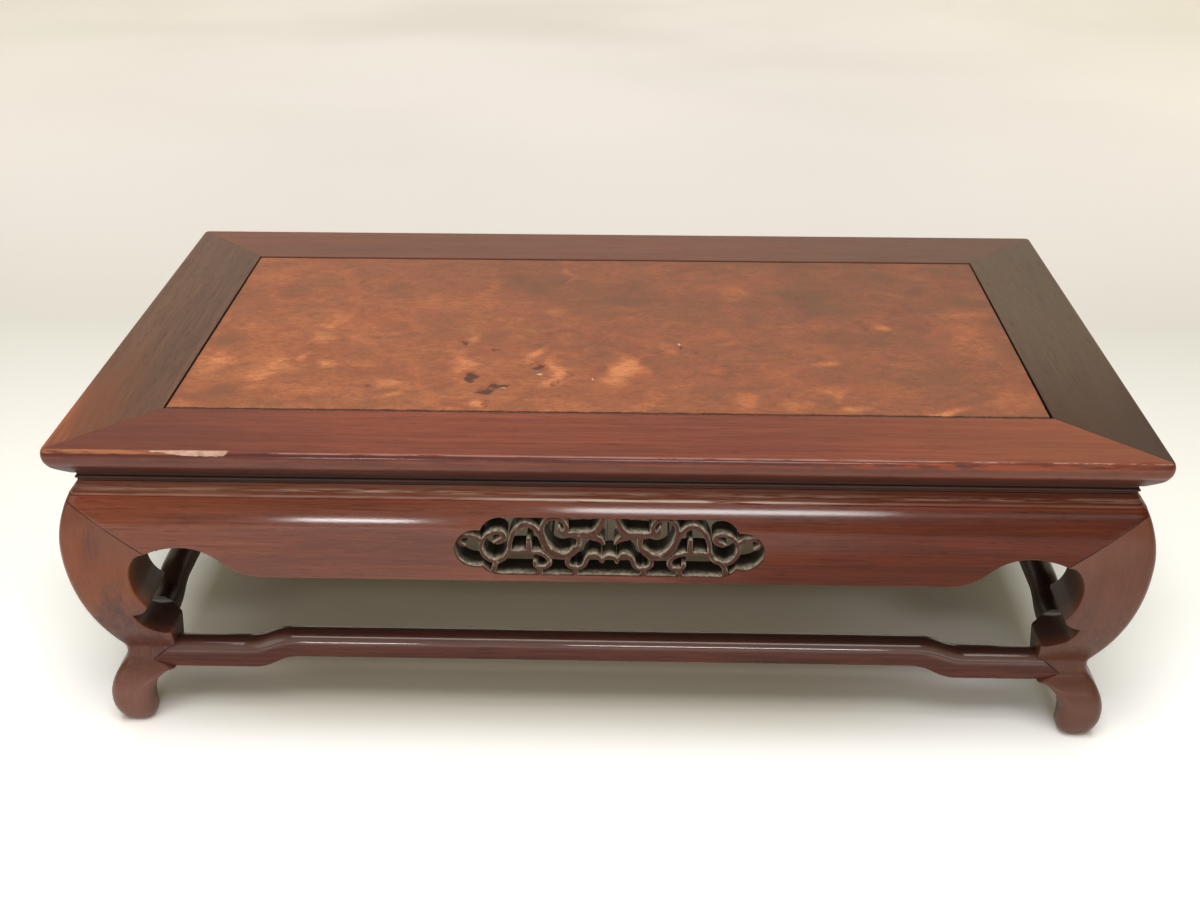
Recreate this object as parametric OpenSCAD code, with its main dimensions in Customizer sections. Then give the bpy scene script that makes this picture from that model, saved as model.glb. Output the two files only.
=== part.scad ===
// Low carved flower stand in dark red hardwood, with a floating burl panel.
// The top is a mitred frame. Below it come a thin waist, four swelling aprons,
// four knee-and-foot legs and four hump-backed stretchers.
// X runs along the length, Y from front to back, Z up. The origin is on the floor,
// under the middle of the top. "In" always means a distance from the outer edge.

/* [Top frame] */
// Length over the edge moulding
top_l = 502.4; // [440:0.1:600]
// Depth over the edge moulding
top_w = 288.9; // [250:0.1:360]
// Thickness of the frame
top_t = 16.3; // [15.5:0.1:22]
// Width of each frame rail
rail_w = 44.2; // [44:0.1:60]
// How far the rounded nose of the edge swells past the arris
nose_out = 1.2; // [0.6:0.1:2]
// Height of the rounded nose
nose_h = 7.5; // [5:0.1:9]
// How far the underside edge is cut in behind the nose
under_in = 9.7; // [7:0.1:12]

/* [Panel] */
// Thickness of the burl panel
panel_t = 8; // [7:0.1:9]
// How far the panel lies below the frame
panel_drop = 0.3; // [0.1:0.1:1]
// Gap between panel and long rails at the surface
panel_gap = 0.4; // [0.2:0.1:1]
// Gap between panel and end rails at the surface
panel_end_gap = 0.9; // [0.4:0.1:1.5]
// Thickness of the tongue round the panel
tongue_t = 4; // [3:0.1:5]
// How far the tongue reaches into the rails
tongue_in = 5.5; // [4:0.1:6]
// Width of the two battens under the panel
batten_w = 22; // [18:0.5:30]
// Distance of each batten from the middle of the panel
batten_x = 110; // [70:1:130]
// Depth of the dovetail that holds a batten to the panel
dovetail_h = 2.5; // [2:0.1:3]
// Width of that dovetail inside the panel
dovetail_w = 13; // [10:0.5:16]
// Slope of its sides
dovetail_angle = 15; // [8:1:20]

/* [Waist] */
// Height of the waist strips
waist_h = 4.7; // [3.6:0.1:9]
// Waist face, in from the edge moulding
waist_in = 10.8; // [10:0.1:13]
// Height of the bead's middle above the aprons
bead_up = 2.1; // [1.4:0.1:2.4]
// Radius of the bead along the waist
bead_r = 0.8; // [0.5:0.1:1]
// Depth of the flats above and below the bead
bead_quirk = 0.5; // [0.3:0.1:1]

/* [Aprons] */
// Height of the aprons
apron_h = 45; // [43:0.5:60]
// Thickness of an apron behind the waist face
apron_web = 6.4; // [5:0.1:7]
// Height of the sloping shoulder at the top of an apron
shoulder_h = 5.6; // [4:0.1:8]
// How far that shoulder slopes out
shoulder_out = 3.6; // [2:0.1:5]
// Small step between shoulder and swell
shoulder_step = 0.5; // [0.2:0.1:1]
// How far the fullest line stands out from the waist
knee_out = 9.8; // [7:0.1:10]
// Depth of the fullest line below the apron's top
knee_drop = 33; // [28:0.5:38]
// Height of the arch top above the apron's straight edge
arch_rise = 15.5; // [13:0.1:18]
// Height of the arch's foot, where the leg begins, above the straight edge
spring_rise = 11.7; // [9:0.1:12.5]
// Distance from leg to arch top
arch_run = 16.8; // [12:0.1:24]
// Length of the ogee from the arch top down to the straight edge
ogee_run = 36; // [32:0.5:45]
// Slope of the mitre between leg and apron
mitre_angle = 36.8; // [34:0.1:40]

/* [Carved window] */
// Length of the carved window
carve_l = 141; // [130:0.5:160]
// How far it sits to the right of the middle
carve_shift = 3; // [-5:0.1:5]
// Height of the carved window
carve_h = 28.3; // [26:0.1:29]
// Depth of its middle below the apron's top
carve_drop = 26.8; // [25:0.1:28]
// Width of the scroll bands
scroll_w = 1.9; // [1.5:0.1:2.4]
// How far the scrolls lie behind the apron's face
scroll_in = 0.8; // [0.3:0.1:2]

/* [Legs] */
// Clear height under the aprons
leg_clear = 92; // [88:1:120]
// Leg width at the top, inward from the waist face
leg_w = 29.4; // [27:0.1:31]
// Leg width at the narrowest part of the scallop
scallop_w = 19.9; // [18:0.1:22]
// Drop from the arch foot to that narrowest part
scallop_drop = 14.7; // [12:0.1:16]
// Leg width at the cusp
cusp_w = 24.9; // [23:0.1:26]
// Drop from the narrowest part to the cusp
cusp_drop = 16.5; // [14:0.1:18]
// Leg width at the notch under the cusp
notch_w = 17; // [15:0.1:19]
// Drop from the cusp to the notch
notch_drop = 6.1; // [5:0.1:7]
// Leg width at the scroll block over the stretcher
block_w = 34.5; // [32:0.1:36]
// Height of that block above the stretcher
block_rise = 10.9; // [9:0.1:13]
// Flat on top of the block
block_flat = 2.1; // [1.5:0.1:3]
// Leg width under the stretcher
seat_w = 27.2; // [26:0.1:28.5]
// Diagonal size of the leg, kept by one flat chamfer inside the corner
leg_diagonal = 52; // [50:0.5:56]
// Height of the ankle
ankle_h = 38.5; // [36:0.5:42]
// How far the ankle draws in behind the waist face
ankle_in = 6.4; // [5:0.1:7]
// Radius of the curve above the ankle
ankle_r = 10; // [8:0.5:14]
// Radius of the curve below the ankle
instep_r = 12; // [9:0.5:16]
// Height of the foot's fullest line
foot_h = 14; // [12:0.5:16]
// How far the foot stands out from the waist face
foot_out = 2.1; // [1:0.1:4]
// Foot width, inward from the waist face
foot_w = 21.3; // [20:0.1:23]
// Rounding under the outer side of the foot
toe_r = 4.5; // [3:0.1:6]
// Width of the rounding under the inner side of the foot
heel_w = 9; // [6:0.1:10]
// Height of that rounding
heel_h = 8; // [6:0.1:10]
// Rounding of the foot's upright edges
foot_edge_r = 6; // [4:0.1:7]
// Rounding of the leg's upright edges above the foot
leg_edge_r = 1.2; // [0.6:0.1:2]

/* [Stretchers] */
// Underside of a stretcher at the leg, above the floor
stretcher_low = 30; // [28:0.5:34]
// Height of the stretcher's section at the leg
stretcher_end_h = 12.5; // [11:0.1:14]
// Height of its section in the middle
stretcher_mid_h = 11; // [10:0.1:13]
// Depth of its section
stretcher_t = 12; // [11:0.1:13]
// Rise of the underside from the leg to the middle
hump_rise = 7; // [5:0.1:10]
// Where the hump starts on the long stretchers, in from the edge
hump_in_long = 82; // [70:1:110]
// Where it starts on the end stretchers
hump_in_end = 69; // [60:1:80]
// Length over which it rises
hump_run = 23; // [18:1:28]
// Rounding of the stretcher's edges
stretcher_edge_r = 3.2; // [2:0.1:4]
// Reach of the pointed shoulder into the leg's face
point_reach = 7; // [5:0.1:9]
// Height of that point above the stretcher's underside
point_up = 4.1; // [3:0.1:6]
// Thickness of the pointed shoulder
point_t = 4; // [3.5:0.1:4.5]
// Depth to which the stretcher's end is housed in the leg
housing = 1; // [0.5:0.1:2.5]

/* [Joints] */
// Gap left at the blind end of every tenon
tip_gap = 0.4; // [0.2:0.1:0.8]
// Least wood left between two mortises
web = 0.5; // [0.5:0.1:1]
// Thickness of the stretcher tenons
tenon_t = 6; // [5:0.1:6.4]
// Height of the stretcher tenons
tenon_h = 6; // [5:0.1:7]
// Side of the square tenon on top of each leg
post_tenon = 10; // [8:0.1:12]
// Height of that tenon
post_tenon_h = 5.5; // [4:0.1:5.5]
// Thickness of the tenons inside the frame's mitres
frame_tenon_t = 3.2; // [2.5:0.1:3.4]
// Width of those tenons
frame_tenon_w = 6.5; // [5:0.1:7]
// How far the end rail's wood covers the tip of a frame tenon
frame_tenon_cover = 13; // [11:0.5:16]
// How far a batten's tenon enters a long rail
batten_tenon = 6; // [5:0.5:9]

/* [Hidden] */

// Wood colours
red_wood = [0.36, 0.15, 0.10];
end_wood = [0.30, 0.15, 0.09];
burl_wood = [0.58, 0.27, 0.13];
leg_wood = [0.40, 0.19, 0.12];

// Heights above the floor
apron_top = leg_clear + apron_h;
frame_low = apron_top + waist_h;
top_h = frame_low + top_t;
knee_h = apron_top - knee_drop;
spring_h = leg_clear + spring_rise;
arch_h = leg_clear + arch_rise;
scallop_h = spring_h - scallop_drop;
cusp_h = scallop_h - cusp_drop;
notch_h = cusp_h - notch_drop;
stretcher_high = stretcher_low + stretcher_end_h;
block_h = stretcher_high + block_rise;
carve_z = apron_top - carve_drop;

// Distances in from the edge
back_in = waist_in + apron_web;
leg_in = waist_in + leg_w;
stretcher_in = waist_in + ankle_in;

// How far a cutter runs past the solid that it cuts
past = 1;
// Tiny lap that joins outlines and solids which only touch
lap = 0.01;

// Depth of a circular arc of radius r at distance d from its crown
function sag(r, d) = r - sqrt(r * r - d * d);

// Radius of the arc that falls by drop over run, starting level
function arc_radius(run, drop) = (run * run + drop * drop) / (2 * drop);

// Fall of an S of two tangent arcs, level at both ends, at distance d from its start.
// r_end is the radius of the arc that it ends with.
function ogee(d, run, drop, r_end) =
    let (both = arc_radius(run, drop), r_start = both - r_end, turn = run * r_start / both)
    d < turn ? sag(r_start, d) : drop - sag(r_end, run - d);

// How far the face of apron and leg stands out from the waist face at height h
function face_out(h) =
    h > apron_top - shoulder_h ? shoulder_out * (apron_top - h) / shoulder_h
    : h > knee_h ? knee_out - sag(swell_r, h - knee_h)
    : h > ankle_h ? knee_out - ogee(knee_h - h, knee_h - ankle_h, knee_out + ankle_in, ankle_r)
    : h > foot_h ? ogee(ankle_h - h, ankle_h - foot_h, foot_out + ankle_in, foot_r) - ankle_in
    : foot_out - sag(foot_r, foot_h - h) - toe_round(h);

swell_r = arc_radius(knee_drop - shoulder_h, knee_out - shoulder_out - shoulder_step);
foot_r = arc_radius(ankle_h - foot_h, foot_out + ankle_in) - instep_r;

// Extra rounding close to the floor, under the outer side of the foot
function toe_round(h) = h < toe_r ? sag(toe_r, toe_r - h) : 0;

// Height of the mitre between leg and apron, at distance x in from the end
function mitre_h(x) = spring_h + (leg_in - x) * tan(mitre_angle);

function mix(a, b, t) = a + (b - a) * t;
function clamp01(t) = min(1, max(0, t));

// Puts a child made for the front, with Y = 0 at the outer edge, on one side
module on_front() translate([0, -top_w / 2, 0]) children();
module on_back() rotate(180) on_front() children();
module on_left() translate([-top_l / 2, 0, 0]) rotate(-90) children();
module on_right() rotate(180) on_left() children();

// A straight bar with a profile drawn in Y and Z, mitred in plan at both ends
module mitred(length, depth) {
    intersection() {
        rotate([90, 0, 90]) linear_extrude(length, center = true) children();
        linear_extrude(top_h + past) polygon([
            [-length / 2, 0], [length / 2, 0],
            [length / 2 - depth, depth], [depth - length / 2, depth]
        ]);
    }
}

// A solid whose outline is drawn in X and Z, between two depths
module front_prism(from, to) {
    translate([0, to, 0]) rotate([90, 0, 0]) linear_extrude(to - from) children();
}

// Top frame

// Section of a rail: rounded nose, undercut edge and groove for the panel
groove_low = top_h - panel_drop - panel_t;
groove_high = groove_low + tongue_t;
groove_in = rail_w - tongue_in - tip_gap;
nose_r = arc_radius(nose_h / 2, nose_out);
nose_steps = 6;

module rail_profile() {
    nose = [
        for (i = [0 : nose_steps])
            let (down = nose_h * i / nose_steps)
            [sag(nose_r, abs(down - nose_h / 2)), top_h - down]
    ];
    polygon(concat(nose, [
        [under_in, frame_low],
        [rail_w, frame_low],
        [rail_w, groove_low],
        [groove_in, groove_low],
        [groove_in, groove_high],
        [rail_w, groove_high],
        [rail_w, top_h]
    ]));
}

// Square tenon on a leg, in the corner at the left of the front
post_tenon_in = (back_in + leg_in - post_tenon) / 2;

module post_tenon_block(extra) {
    translate([post_tenon_in, post_tenon_in, frame_low - past])
        cube([post_tenon, post_tenon, post_tenon_h + past + extra]);
}

// Tenon of a long rail inside the end rail, at the left end of the front.
// It lies over the leg's tenon and clear of the panel's groove.
frame_tenon_low = frame_low + post_tenon_h + tip_gap + web;
frame_tenon_in = groove_in - frame_tenon_w - web;

module frame_tenon(extra) {
    tip = frame_tenon_cover - extra;
    translate([tip, frame_tenon_in, frame_tenon_low])
        cube([groove_in - tip, frame_tenon_w, frame_tenon_t]);
}

// Moves a child from the corner of the bare front-left quarter to its place
module at_corner() translate([-top_l / 2, -top_w / 2, 0]) children();

module long_rail() {
    difference() {
        union() {
            on_front() mitred(top_l, rail_w) rail_profile();
            for (sx = [0, 1]) mirror([sx, 0, 0]) at_corner() frame_tenon(0);
        }
        for (sx = [0, 1]) mirror([sx, 0, 0]) at_corner() post_tenon_block(tip_gap);
        for (x = [-batten_x, batten_x]) batten_tenon_bar(x, tip_gap);
    }
}

module end_rail() {
    difference() {
        on_left() mitred(top_w, rail_w) rail_profile();
        for (sy = [0, 1]) mirror([0, sy, 0]) at_corner() {
            frame_tenon(tip_gap);
            post_tenon_block(tip_gap);
        }
    }
}

module front_rail() color(red_wood) long_rail();
module back_rail() color(red_wood) rotate(180) long_rail();
module left_rail() color(end_wood) end_rail();
module right_rail() color(end_wood) rotate(180) end_rail();

// Panel and battens

panel_l = top_l - 2 * rail_w - 2 * panel_end_gap;
panel_w = top_w - 2 * rail_w - 2 * panel_gap;
tongue_l = top_l - 2 * (rail_w - tongue_in);
tongue_w = top_w - 2 * (rail_w - tongue_in);
panel_low = groove_low;
dovetail_root = dovetail_w - 2 * dovetail_h * tan(dovetail_angle);
batten_span = top_w - 2 * rail_w;

// Dovetail between batten and panel, running from front to back at X = x
module dovetail(x, length) {
    translate([x, 0, panel_low]) rotate([90, 0, 0])
        linear_extrude(length, center = true) polygon([
            [-dovetail_root / 2, 0], [dovetail_root / 2, 0],
            [dovetail_w / 2, dovetail_h], [-dovetail_w / 2, dovetail_h]
        ]);
}

// The part of a batten that reaches into both long rails
module batten_tenon_bar(x, extra) {
    reach = batten_span + 2 * (batten_tenon + extra);
    height = (panel_low - frame_low) / 2;
    translate([x - dovetail_w / 2, -reach / 2, frame_low + height / 2])
        cube([dovetail_w, reach, height]);
}

module burl_panel() {
    color(burl_wood) difference() {
        union() {
            translate([-panel_l / 2, -panel_w / 2, panel_low]) cube([panel_l, panel_w, panel_t]);
            translate([-tongue_l / 2, -tongue_w / 2, panel_low]) cube([tongue_l, tongue_w, tongue_t]);
        }
        for (x = [-batten_x, batten_x]) dovetail(x, tongue_w + past);
    }
}

module batten(x) {
    color(end_wood) {
        translate([x - batten_w / 2, -batten_span / 2, frame_low])
            cube([batten_w, batten_span, panel_low - frame_low]);
        batten_tenon_bar(x, 0);
        dovetail(x, batten_span);
    }
}

// Waist

bead_z = apron_top + bead_up;
bead_steps = 6;

module waist_profile() {
    bead = [
        for (i = [0 : bead_steps])
            let (a = 180 * i / bead_steps)
            [waist_in + bead_quirk - bead_r * sin(a), bead_z + bead_r * cos(a)]
    ];
    polygon(concat(
        [[back_in, apron_top], [back_in, frame_low], [waist_in + bead_quirk, frame_low]],
        bead,
        [[waist_in + bead_quirk, apron_top]]
    ));
}

module waist(length) mitred(length, back_in) waist_profile();

// Aprons

swell_steps = 9;
under_steps = 3;

module apron_profile(set_back) {
    shoulder_low = apron_top - shoulder_h;
    swell = [
        for (i = [0 : swell_steps])
            let (h = shoulder_low - (shoulder_low - knee_h) * i / swell_steps)
            [waist_in - face_out(h) + set_back, h]
    ];
    under = [
        for (i = [1 : under_steps])
            let (h = knee_h - (knee_h - leg_clear) * i / under_steps)
            [waist_in - face_out(h) + set_back, h]
    ];
    polygon(concat(
        [[back_in, leg_clear], [back_in, apron_top], [waist_in + set_back, apron_top],
         [waist_in - shoulder_out + set_back, shoulder_low]],
        swell,
        under
    ));
}

arch_steps = 5;
ogee_steps = 10;

// Lower edge of an apron from its left end to the straight part, as [X in from the end, Z]
function apron_edge() =
    let (
        drop = arch_rise - spring_rise,
        r = arc_radius(arch_run, drop),
        crown = leg_in + arch_run
    )
    concat(
        [[0, mitre_h(0)]],
        [for (i = [0 : arch_steps])
            let (d = arch_run * (1 - i / arch_steps))
            [crown - d, arch_h - sag(r, d)]],
        [for (i = [1 : ogee_steps])
            let (d = ogee_run * i / ogee_steps)
            [crown + d, arch_h - ogee(d, ogee_run, arch_rise, arc_radius(ogee_run, arch_rise) / 2)]]
    );

module apron_outline(length) {
    edge = apron_edge();
    n = len(edge);
    polygon(concat(
        [for (p = edge) [p[0] - length / 2, p[1]]],
        [for (i = [n - 1 : -1 : 0]) [length / 2 - edge[i][0], edge[i][1]]],
        [[length / 2, apron_top + past], [-length / 2, apron_top + past]]
    ));
}

module plain_apron(length) {
    intersection() {
        mitred(length, back_in) apron_profile(0);
        front_prism(-past, back_in + past) apron_outline(length);
    }
}

// Carved window

// The scrolls are drawn for a half window of this length and height, middle at [0, 0]
draw_l = 67.8;
draw_h = 28.3;
drawn_w = scroll_w * draw_h / carve_h;
thick_w = drawn_w * 1.35;
thin_w = drawn_w * 0.6;
point_w = drawn_w * 0.3;
band_steps = 12;

// Part of a ring, drawn in X and Z, whose width runs from w1 to w2
module band(x, z, r, from, to, w1 = drawn_w, w2 = drawn_w) {
    function edge(t, side) =
        let (a = mix(from, to, t), e = r + side * mix(w1, w2, t) / 2)
        [x + e * cos(a), z + e * sin(a)];
    polygon(concat(
        [for (i = [0 : band_steps]) edge(i / band_steps, 1)],
        [for (i = [band_steps : -1 : 0]) edge(i / band_steps, -1)]
    ));
}

module bud(x, z, r) translate([x, z]) circle(r, $fn = 24);

// Straight piece whose width runs from w1 to w2
module rib(x1, z1, x2, z2, w1 = drawn_w, w2 = drawn_w) {
    n = [z1 - z2, x2 - x1] / norm([x2 - x1, z2 - z1]) / 2;
    polygon([[x1, z1] + n * w1, [x2, z2] + n * w2, [x2, z2] - n * w2, [x1, z1] - n * w1]);
}

// Left half of the scrollwork
module half_scroll() {
    // Hook in the end lobe
    band(-62.6, 1.4, 3.2, 60, 235, drawn_w, thin_w);
    rib(-61.6, 4.1, -55.4, 3.1);
    // First open ring with its comma-shaped bud, tied to the window's lower edge
    band(-50.3, -1.9, 6.1, 125, 400, thin_w, drawn_w);
    band(-50.6, 1.8, 4.7, 15, 185, drawn_w, thin_w);
    bud(-47.6, 3.3, 2.3);
    rib(-50, -7.4, -48.6, -15);
    // Arch from the first ring to the second
    rib(-45.3, 0.6, -43.4, 3.2);
    band(-36.6, 4.4, 7.2, -28, 195, thick_w, drawn_w);
    bud(-37.4, 11.6, 1.7);
    // Lower branch with a leaf, ending in a hook
    rib(-44.9, -3.6, -30.2, -2.4, thin_w, drawn_w);
    bud(-36.6, -1.3, 1.7);
    band(-30.2, -7.3, 4.7, -190, 92, thin_w, drawn_w);
    bud(-34.4, -7.4, 1.2);
    // Second ring with its spiral, tied to the window's upper edge
    band(-21.3, 1.9, 7.8, 165, 385, drawn_w, thick_w);
    band(-24.2, 9.8, 4.4, -75, 205, thin_w, thick_w);
    bud(-22.8, 5.9, 1.3);
    // Bar with a forked end
    rib(-17.4, 7.2, -8, 6.3, drawn_w, thick_w);
    rib(-14.6, 7, -14.1, 3.9, drawn_w, thick_w);
    rib(-9, 6.4, -3.4, 1.6, thick_w, point_w);
    rib(-9, 6.8, -4.9, 9.4, thick_w, drawn_w);
    rib(-5.5, 8.8, -3.6, 14.6, drawn_w, drawn_w);
    // Stem, dip and wave to the middle
    rib(-18.3, -5.4, -18.4, -7.6);
    band(-14.4, -7.3, 4.1, 176, 364, drawn_w, drawn_w);
    band(-6.7, -7.9, 3.6, 30, 172, drawn_w, drawn_w);
    rib(-4.2, -5.6, 0.4, -9.8, drawn_w, thin_w);
}

// Half of the lobed window, drawn like the scrolls
lobe_end = 57;
lobe_r = 9;
end_lobe_r = 9.2;
end_lobe_z = -1;

module half_window() {
    half_h = draw_h / 2;
    straight = lobe_end - lobe_r;
    translate([-straight, -half_h]) square([straight + lap, draw_h]);
    translate([-lobe_end, lobe_r - half_h]) square([lobe_r + lap, draw_h - 2 * lobe_r]);
    for (z = [half_h - lobe_r, lobe_r - half_h]) bud(-straight, z, lobe_r);
    bud(end_lobe_r - draw_l, end_lobe_z, end_lobe_r);
}

// Both halves, stretched to the window's size and put in its place
module both_halves() {
    translate([carve_shift, carve_z])
        for (s = [-1, 1]) scale([s * carve_l / 2 / draw_l, carve_h / draw_h]) children();
}

scroll_l = carve_l + 2 * abs(carve_shift);

module carved_apron(length) {
    difference() {
        plain_apron(length);
        front_prism(-past, back_in + past) both_halves() half_window();
    }
    intersection() {
        rotate([90, 0, 90]) linear_extrude(scroll_l, center = true) apron_profile(scroll_in);
        front_prism(-past, back_in - scroll_in) both_halves() intersection() {
            half_scroll();
            translate([-draw_l, -draw_h / 2 - past]) square([draw_l + past, draw_h + 2 * past]);
        }
    }
}

module front_apron() color(red_wood) on_front() carved_apron(top_l);
module back_apron() color(red_wood) on_back() carved_apron(top_l);
module left_apron() color(end_wood) on_left() plain_apron(top_w);
module right_apron() color(end_wood) on_right() plain_apron(top_w);

// Legs

block_break = 0.8;

// Leg width at height h along the leaning side over the foot
function lean_w(h) = mix(seat_w, block_w, (h - stretcher_low) / (block_h - stretcher_low));

// Points of the leg's inner side, from the floor up, as [width from the waist face, height]
function leg_inside() = concat(
    // Rounding under the foot
    [for (a = [0 : 18 : 90]) [foot_w - heel_w * (1 - sin(a)), heel_h * (1 - cos(a))]],
    // Straight to the foot's fullest line, then a hollow up to the stretcher
    [for (i = [0 : 4])
        let (h = mix(foot_h, stretcher_low, i / 4))
        [foot_w + sag(arc_radius(stretcher_low - foot_h, seat_w - foot_w), h - foot_h), h]],
    // Leaning side of the scroll block, with its upper corner just broken
    [for (i = [1 : 3])
        let (h = mix(stretcher_low, block_h - block_break, i / 3))
        [lean_w(h), h]],
    [[block_w - block_break, block_h - lap]],
    // Scoop from the block up to the notch
    [for (a = [90 : -15 : 0])
        [block_w - block_flat - (block_w - block_flat - notch_w) * cos(a),
         notch_h - (notch_h - block_h) * sin(a)]],
    // Round underside of the cusp
    [for (a = [30 : 20 : 90])
        [notch_w + (cusp_w - notch_w) * sin(a), cusp_h - notch_drop * cos(a)]],
    // Scallop above the cusp
    [for (i = [1 : 4])
        let (h = mix(cusp_h, scallop_h, i / 4))
        [scallop_w + sag(arc_radius(cusp_drop, cusp_w - scallop_w), scallop_h - h), h]],
    [for (a = [22.5 : 22.5 : 90])
        [leg_w - (leg_w - scallop_w) * cos(a), scallop_h + scallop_drop * sin(a)]],
    // Straight up behind the aprons
    [for (i = [1 : 5]) [leg_w, mix(spring_h, apron_top, i / 5)]]
);

corner_steps = 3;

// Quarter circle of radius r about [x, y], starting at angle a
function quarter(x, y, r, a) = [
    for (i = [0 : corner_steps])
        let (b = a + 90 * i / corner_steps)
        [x + r * cos(b), y + r * sin(b)]
];

// Section of the leg at one height: a rounded square between the outer face and
// the inner side, with the inside corner kept within the diagonal size
function leg_ring(w, h) =
    let (
        out = waist_in - face_out(h),
        in = waist_in + w,
        edge = min(mix(leg_edge_r, foot_edge_r, clamp01((ankle_h - h) / (ankle_h - foot_h))),
                   (in - out) * 0.45),
        cut = max(edge, 2 * w - leg_diagonal),
        flat = clamp01((cut - edge) / 5),
        arc = quarter(in - cut, in - cut, cut, 0),
        inside = [
            for (i = [0 : corner_steps])
                mix(arc[i], mix([in, in - cut], [in - cut, in], i / corner_steps), flat)
        ]
    )
    [for (p = concat(
        quarter(out + edge, out + edge, edge, 180),
        quarter(in - edge, out + edge, edge, 270),
        inside,
        quarter(out + edge, in - edge, edge, 90)
    )) [p[0], p[1], h]];

// Joins rings of equal length, listed along one axis, into one closed solid
module skin(rings) {
    n = len(rings[0]);
    last = len(rings) - 1;
    points = [for (ring = rings) each ring];
    sides = [
        for (k = [0 : last - 1], i = [0 : n - 1])
            let (a = k * n + i, b = k * n + (i + 1) % n)
            each [[a, a + n, b], [b, a + n, b + n]]
    ];
    start = [for (i = [0 : n - 1]) i];
    end = [for (i = [n - 1 : -1 : 0]) last * n + i];
    polyhedron(points, concat(sides, [start, end]));
}

// The leg's body between two heights
module leg_body(low, high) {
    skin([for (p = leg_inside()) if (p[1] >= low && p[1] <= high) leg_ring(p[0], p[1])]);
}

// Room for the apron over the front of the leg, above the mitre
module apron_room() {
    front_prism(-past, back_in) polygon([
        [-past, mitre_h(-past)],
        [leg_in + past, mitre_h(leg_in + past)],
        [leg_in + past, frame_low + past],
        [-past, frame_low + past]
    ]);
}

// Pointed shoulder of a stretcher at its left end, drawn in X and Z. Its top and bottom
// corners lie on the leg's edge, and the outline runs on until it is clear of the leg.
point_h = stretcher_low + point_up;
point_in = waist_in + lean_w(point_h) - point_reach;
clear_in = waist_in + block_w + past;

module point_shape() {
    tip = [point_in, point_h];
    over = [waist_in + lean_w(stretcher_high), stretcher_high] - tip;
    under = [waist_in + seat_w, stretcher_low] - tip;
    high = tip + over * (1 + past / over[1]);
    low = tip + under * (1 - past / under[1]);
    polygon([tip, high, [clear_in + past, high[1]], [clear_in + past, low[1]], low]);
}

point_back = stretcher_in + point_t;

module point_layer() front_prism(-past, point_back) point_shape();

// Behind the point the stretcher ends square, housed in the leg, with a tenon
house_in = waist_in + seat_w - housing;
tenon_in = point_back + web;

module stretcher_tenon(extra) {
    tip = tenon_in + tenon_t + web - extra;
    translate([tip, tenon_in, stretcher_low + (stretcher_end_h - tenon_h) / 2])
        cube([house_in - tip + lap, tenon_t, tenon_h]);
}

module leg() {
    difference() {
        union() {
            leg_body(0, apron_top);
            translate([back_in, back_in, spring_h])
                cube([leg_in - back_in, leg_in - back_in, frame_low - spring_h]);
            post_tenon_block(0);
        }
        for (turn = [0, 1]) mirror([turn, -turn, 0]) {
            apron_room();
            point_layer();
            stretcher_tenon(tip_gap);
            housed_bar();
        }
    }
}

module front_left_leg() color(leg_wood) at_corner() leg();
module front_right_leg() color(leg_wood) mirror([1, 0, 0]) at_corner() leg();
module back_left_leg() color(leg_wood) mirror([0, 1, 0]) at_corner() leg();
module back_right_leg() color(leg_wood) mirror([1, 0, 0]) mirror([0, 1, 0]) at_corner() leg();

// Stretchers

hump_steps = 6;

// Section of a stretcher across X, its underside at height low
function bar_ring(x, low, height) =
    let (
        r = stretcher_edge_r,
        front = stretcher_in,
        back = stretcher_in + stretcher_t
    )
    [for (p = concat(
        quarter(front + r, low + r, r, 180),
        quarter(back - r, low + r, r, 270),
        quarter(back - r, low + height - r, r, 0),
        quarter(front + r, low + height - r, r, 90)
    )) [x, p[0], p[1]]];

// Left half of a stretcher's rings as [X in from the end, rise from 0 to 1]
function hump(start) = [
    for (i = [0 : hump_steps])
        let (d = hump_run * i / hump_steps)
        [start + d, ogee(d, hump_run, 1, arc_radius(hump_run, 1) / 2)]
];

// Bar between two distances in from the ends of a side of this length
module bar(length, first, start) {
    half = concat([[first, 0]], hump(start));
    n = len(half);
    all = concat(
        [for (p = half) [p[0] - length / 2, p[1]]],
        [for (i = [n - 1 : -1 : 0]) [length / 2 - half[i][0], half[i][1]]]
    );
    skin([
        for (p = all)
            bar_ring(p[0], stretcher_low + hump_rise * p[1],
                     mix(stretcher_end_h, stretcher_mid_h, p[1]))
    ]);
}

// The housed end of a bar behind its point
module housed_bar() {
    intersection() {
        skin([
            bar_ring(house_in, stretcher_low, stretcher_end_h),
            bar_ring(clear_in, stretcher_low, stretcher_end_h)
        ]);
        translate([house_in, point_back, 0]) cube([clear_in, stretcher_t, top_h]);
    }
}

module stretcher(length, start) {
    difference() {
        bar(length, point_in, start);
        for (s = [0, 1]) mirror([s, 0, 0]) translate([-length / 2, 0, 0]) {
            // Behind the point the bar stops at its housing
            translate([0, point_back, 0]) cube([house_in, stretcher_t, top_h]);
            // In front only the pointed shape is left
            difference() {
                cube([clear_in, point_back, top_h]);
                front_prism(-past, point_back + past) point_shape();
            }
        }
    }
    for (s = [0, 1]) mirror([s, 0, 0]) translate([-length / 2, 0, 0]) {
        // The point is planed flush with the leg's own curved face
        intersection() {
            leg_body(foot_h, block_h);
            point_layer();
        }
        stretcher_tenon(0);
    }
}

module front_stretcher() color(red_wood) on_front() stretcher(top_l, hump_in_long);
module back_stretcher() color(red_wood) on_back() stretcher(top_l, hump_in_long);
module left_stretcher() color(end_wood) on_left() stretcher(top_w, hump_in_end);
module right_stretcher() color(end_wood) on_right() stretcher(top_w, hump_in_end);

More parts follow.
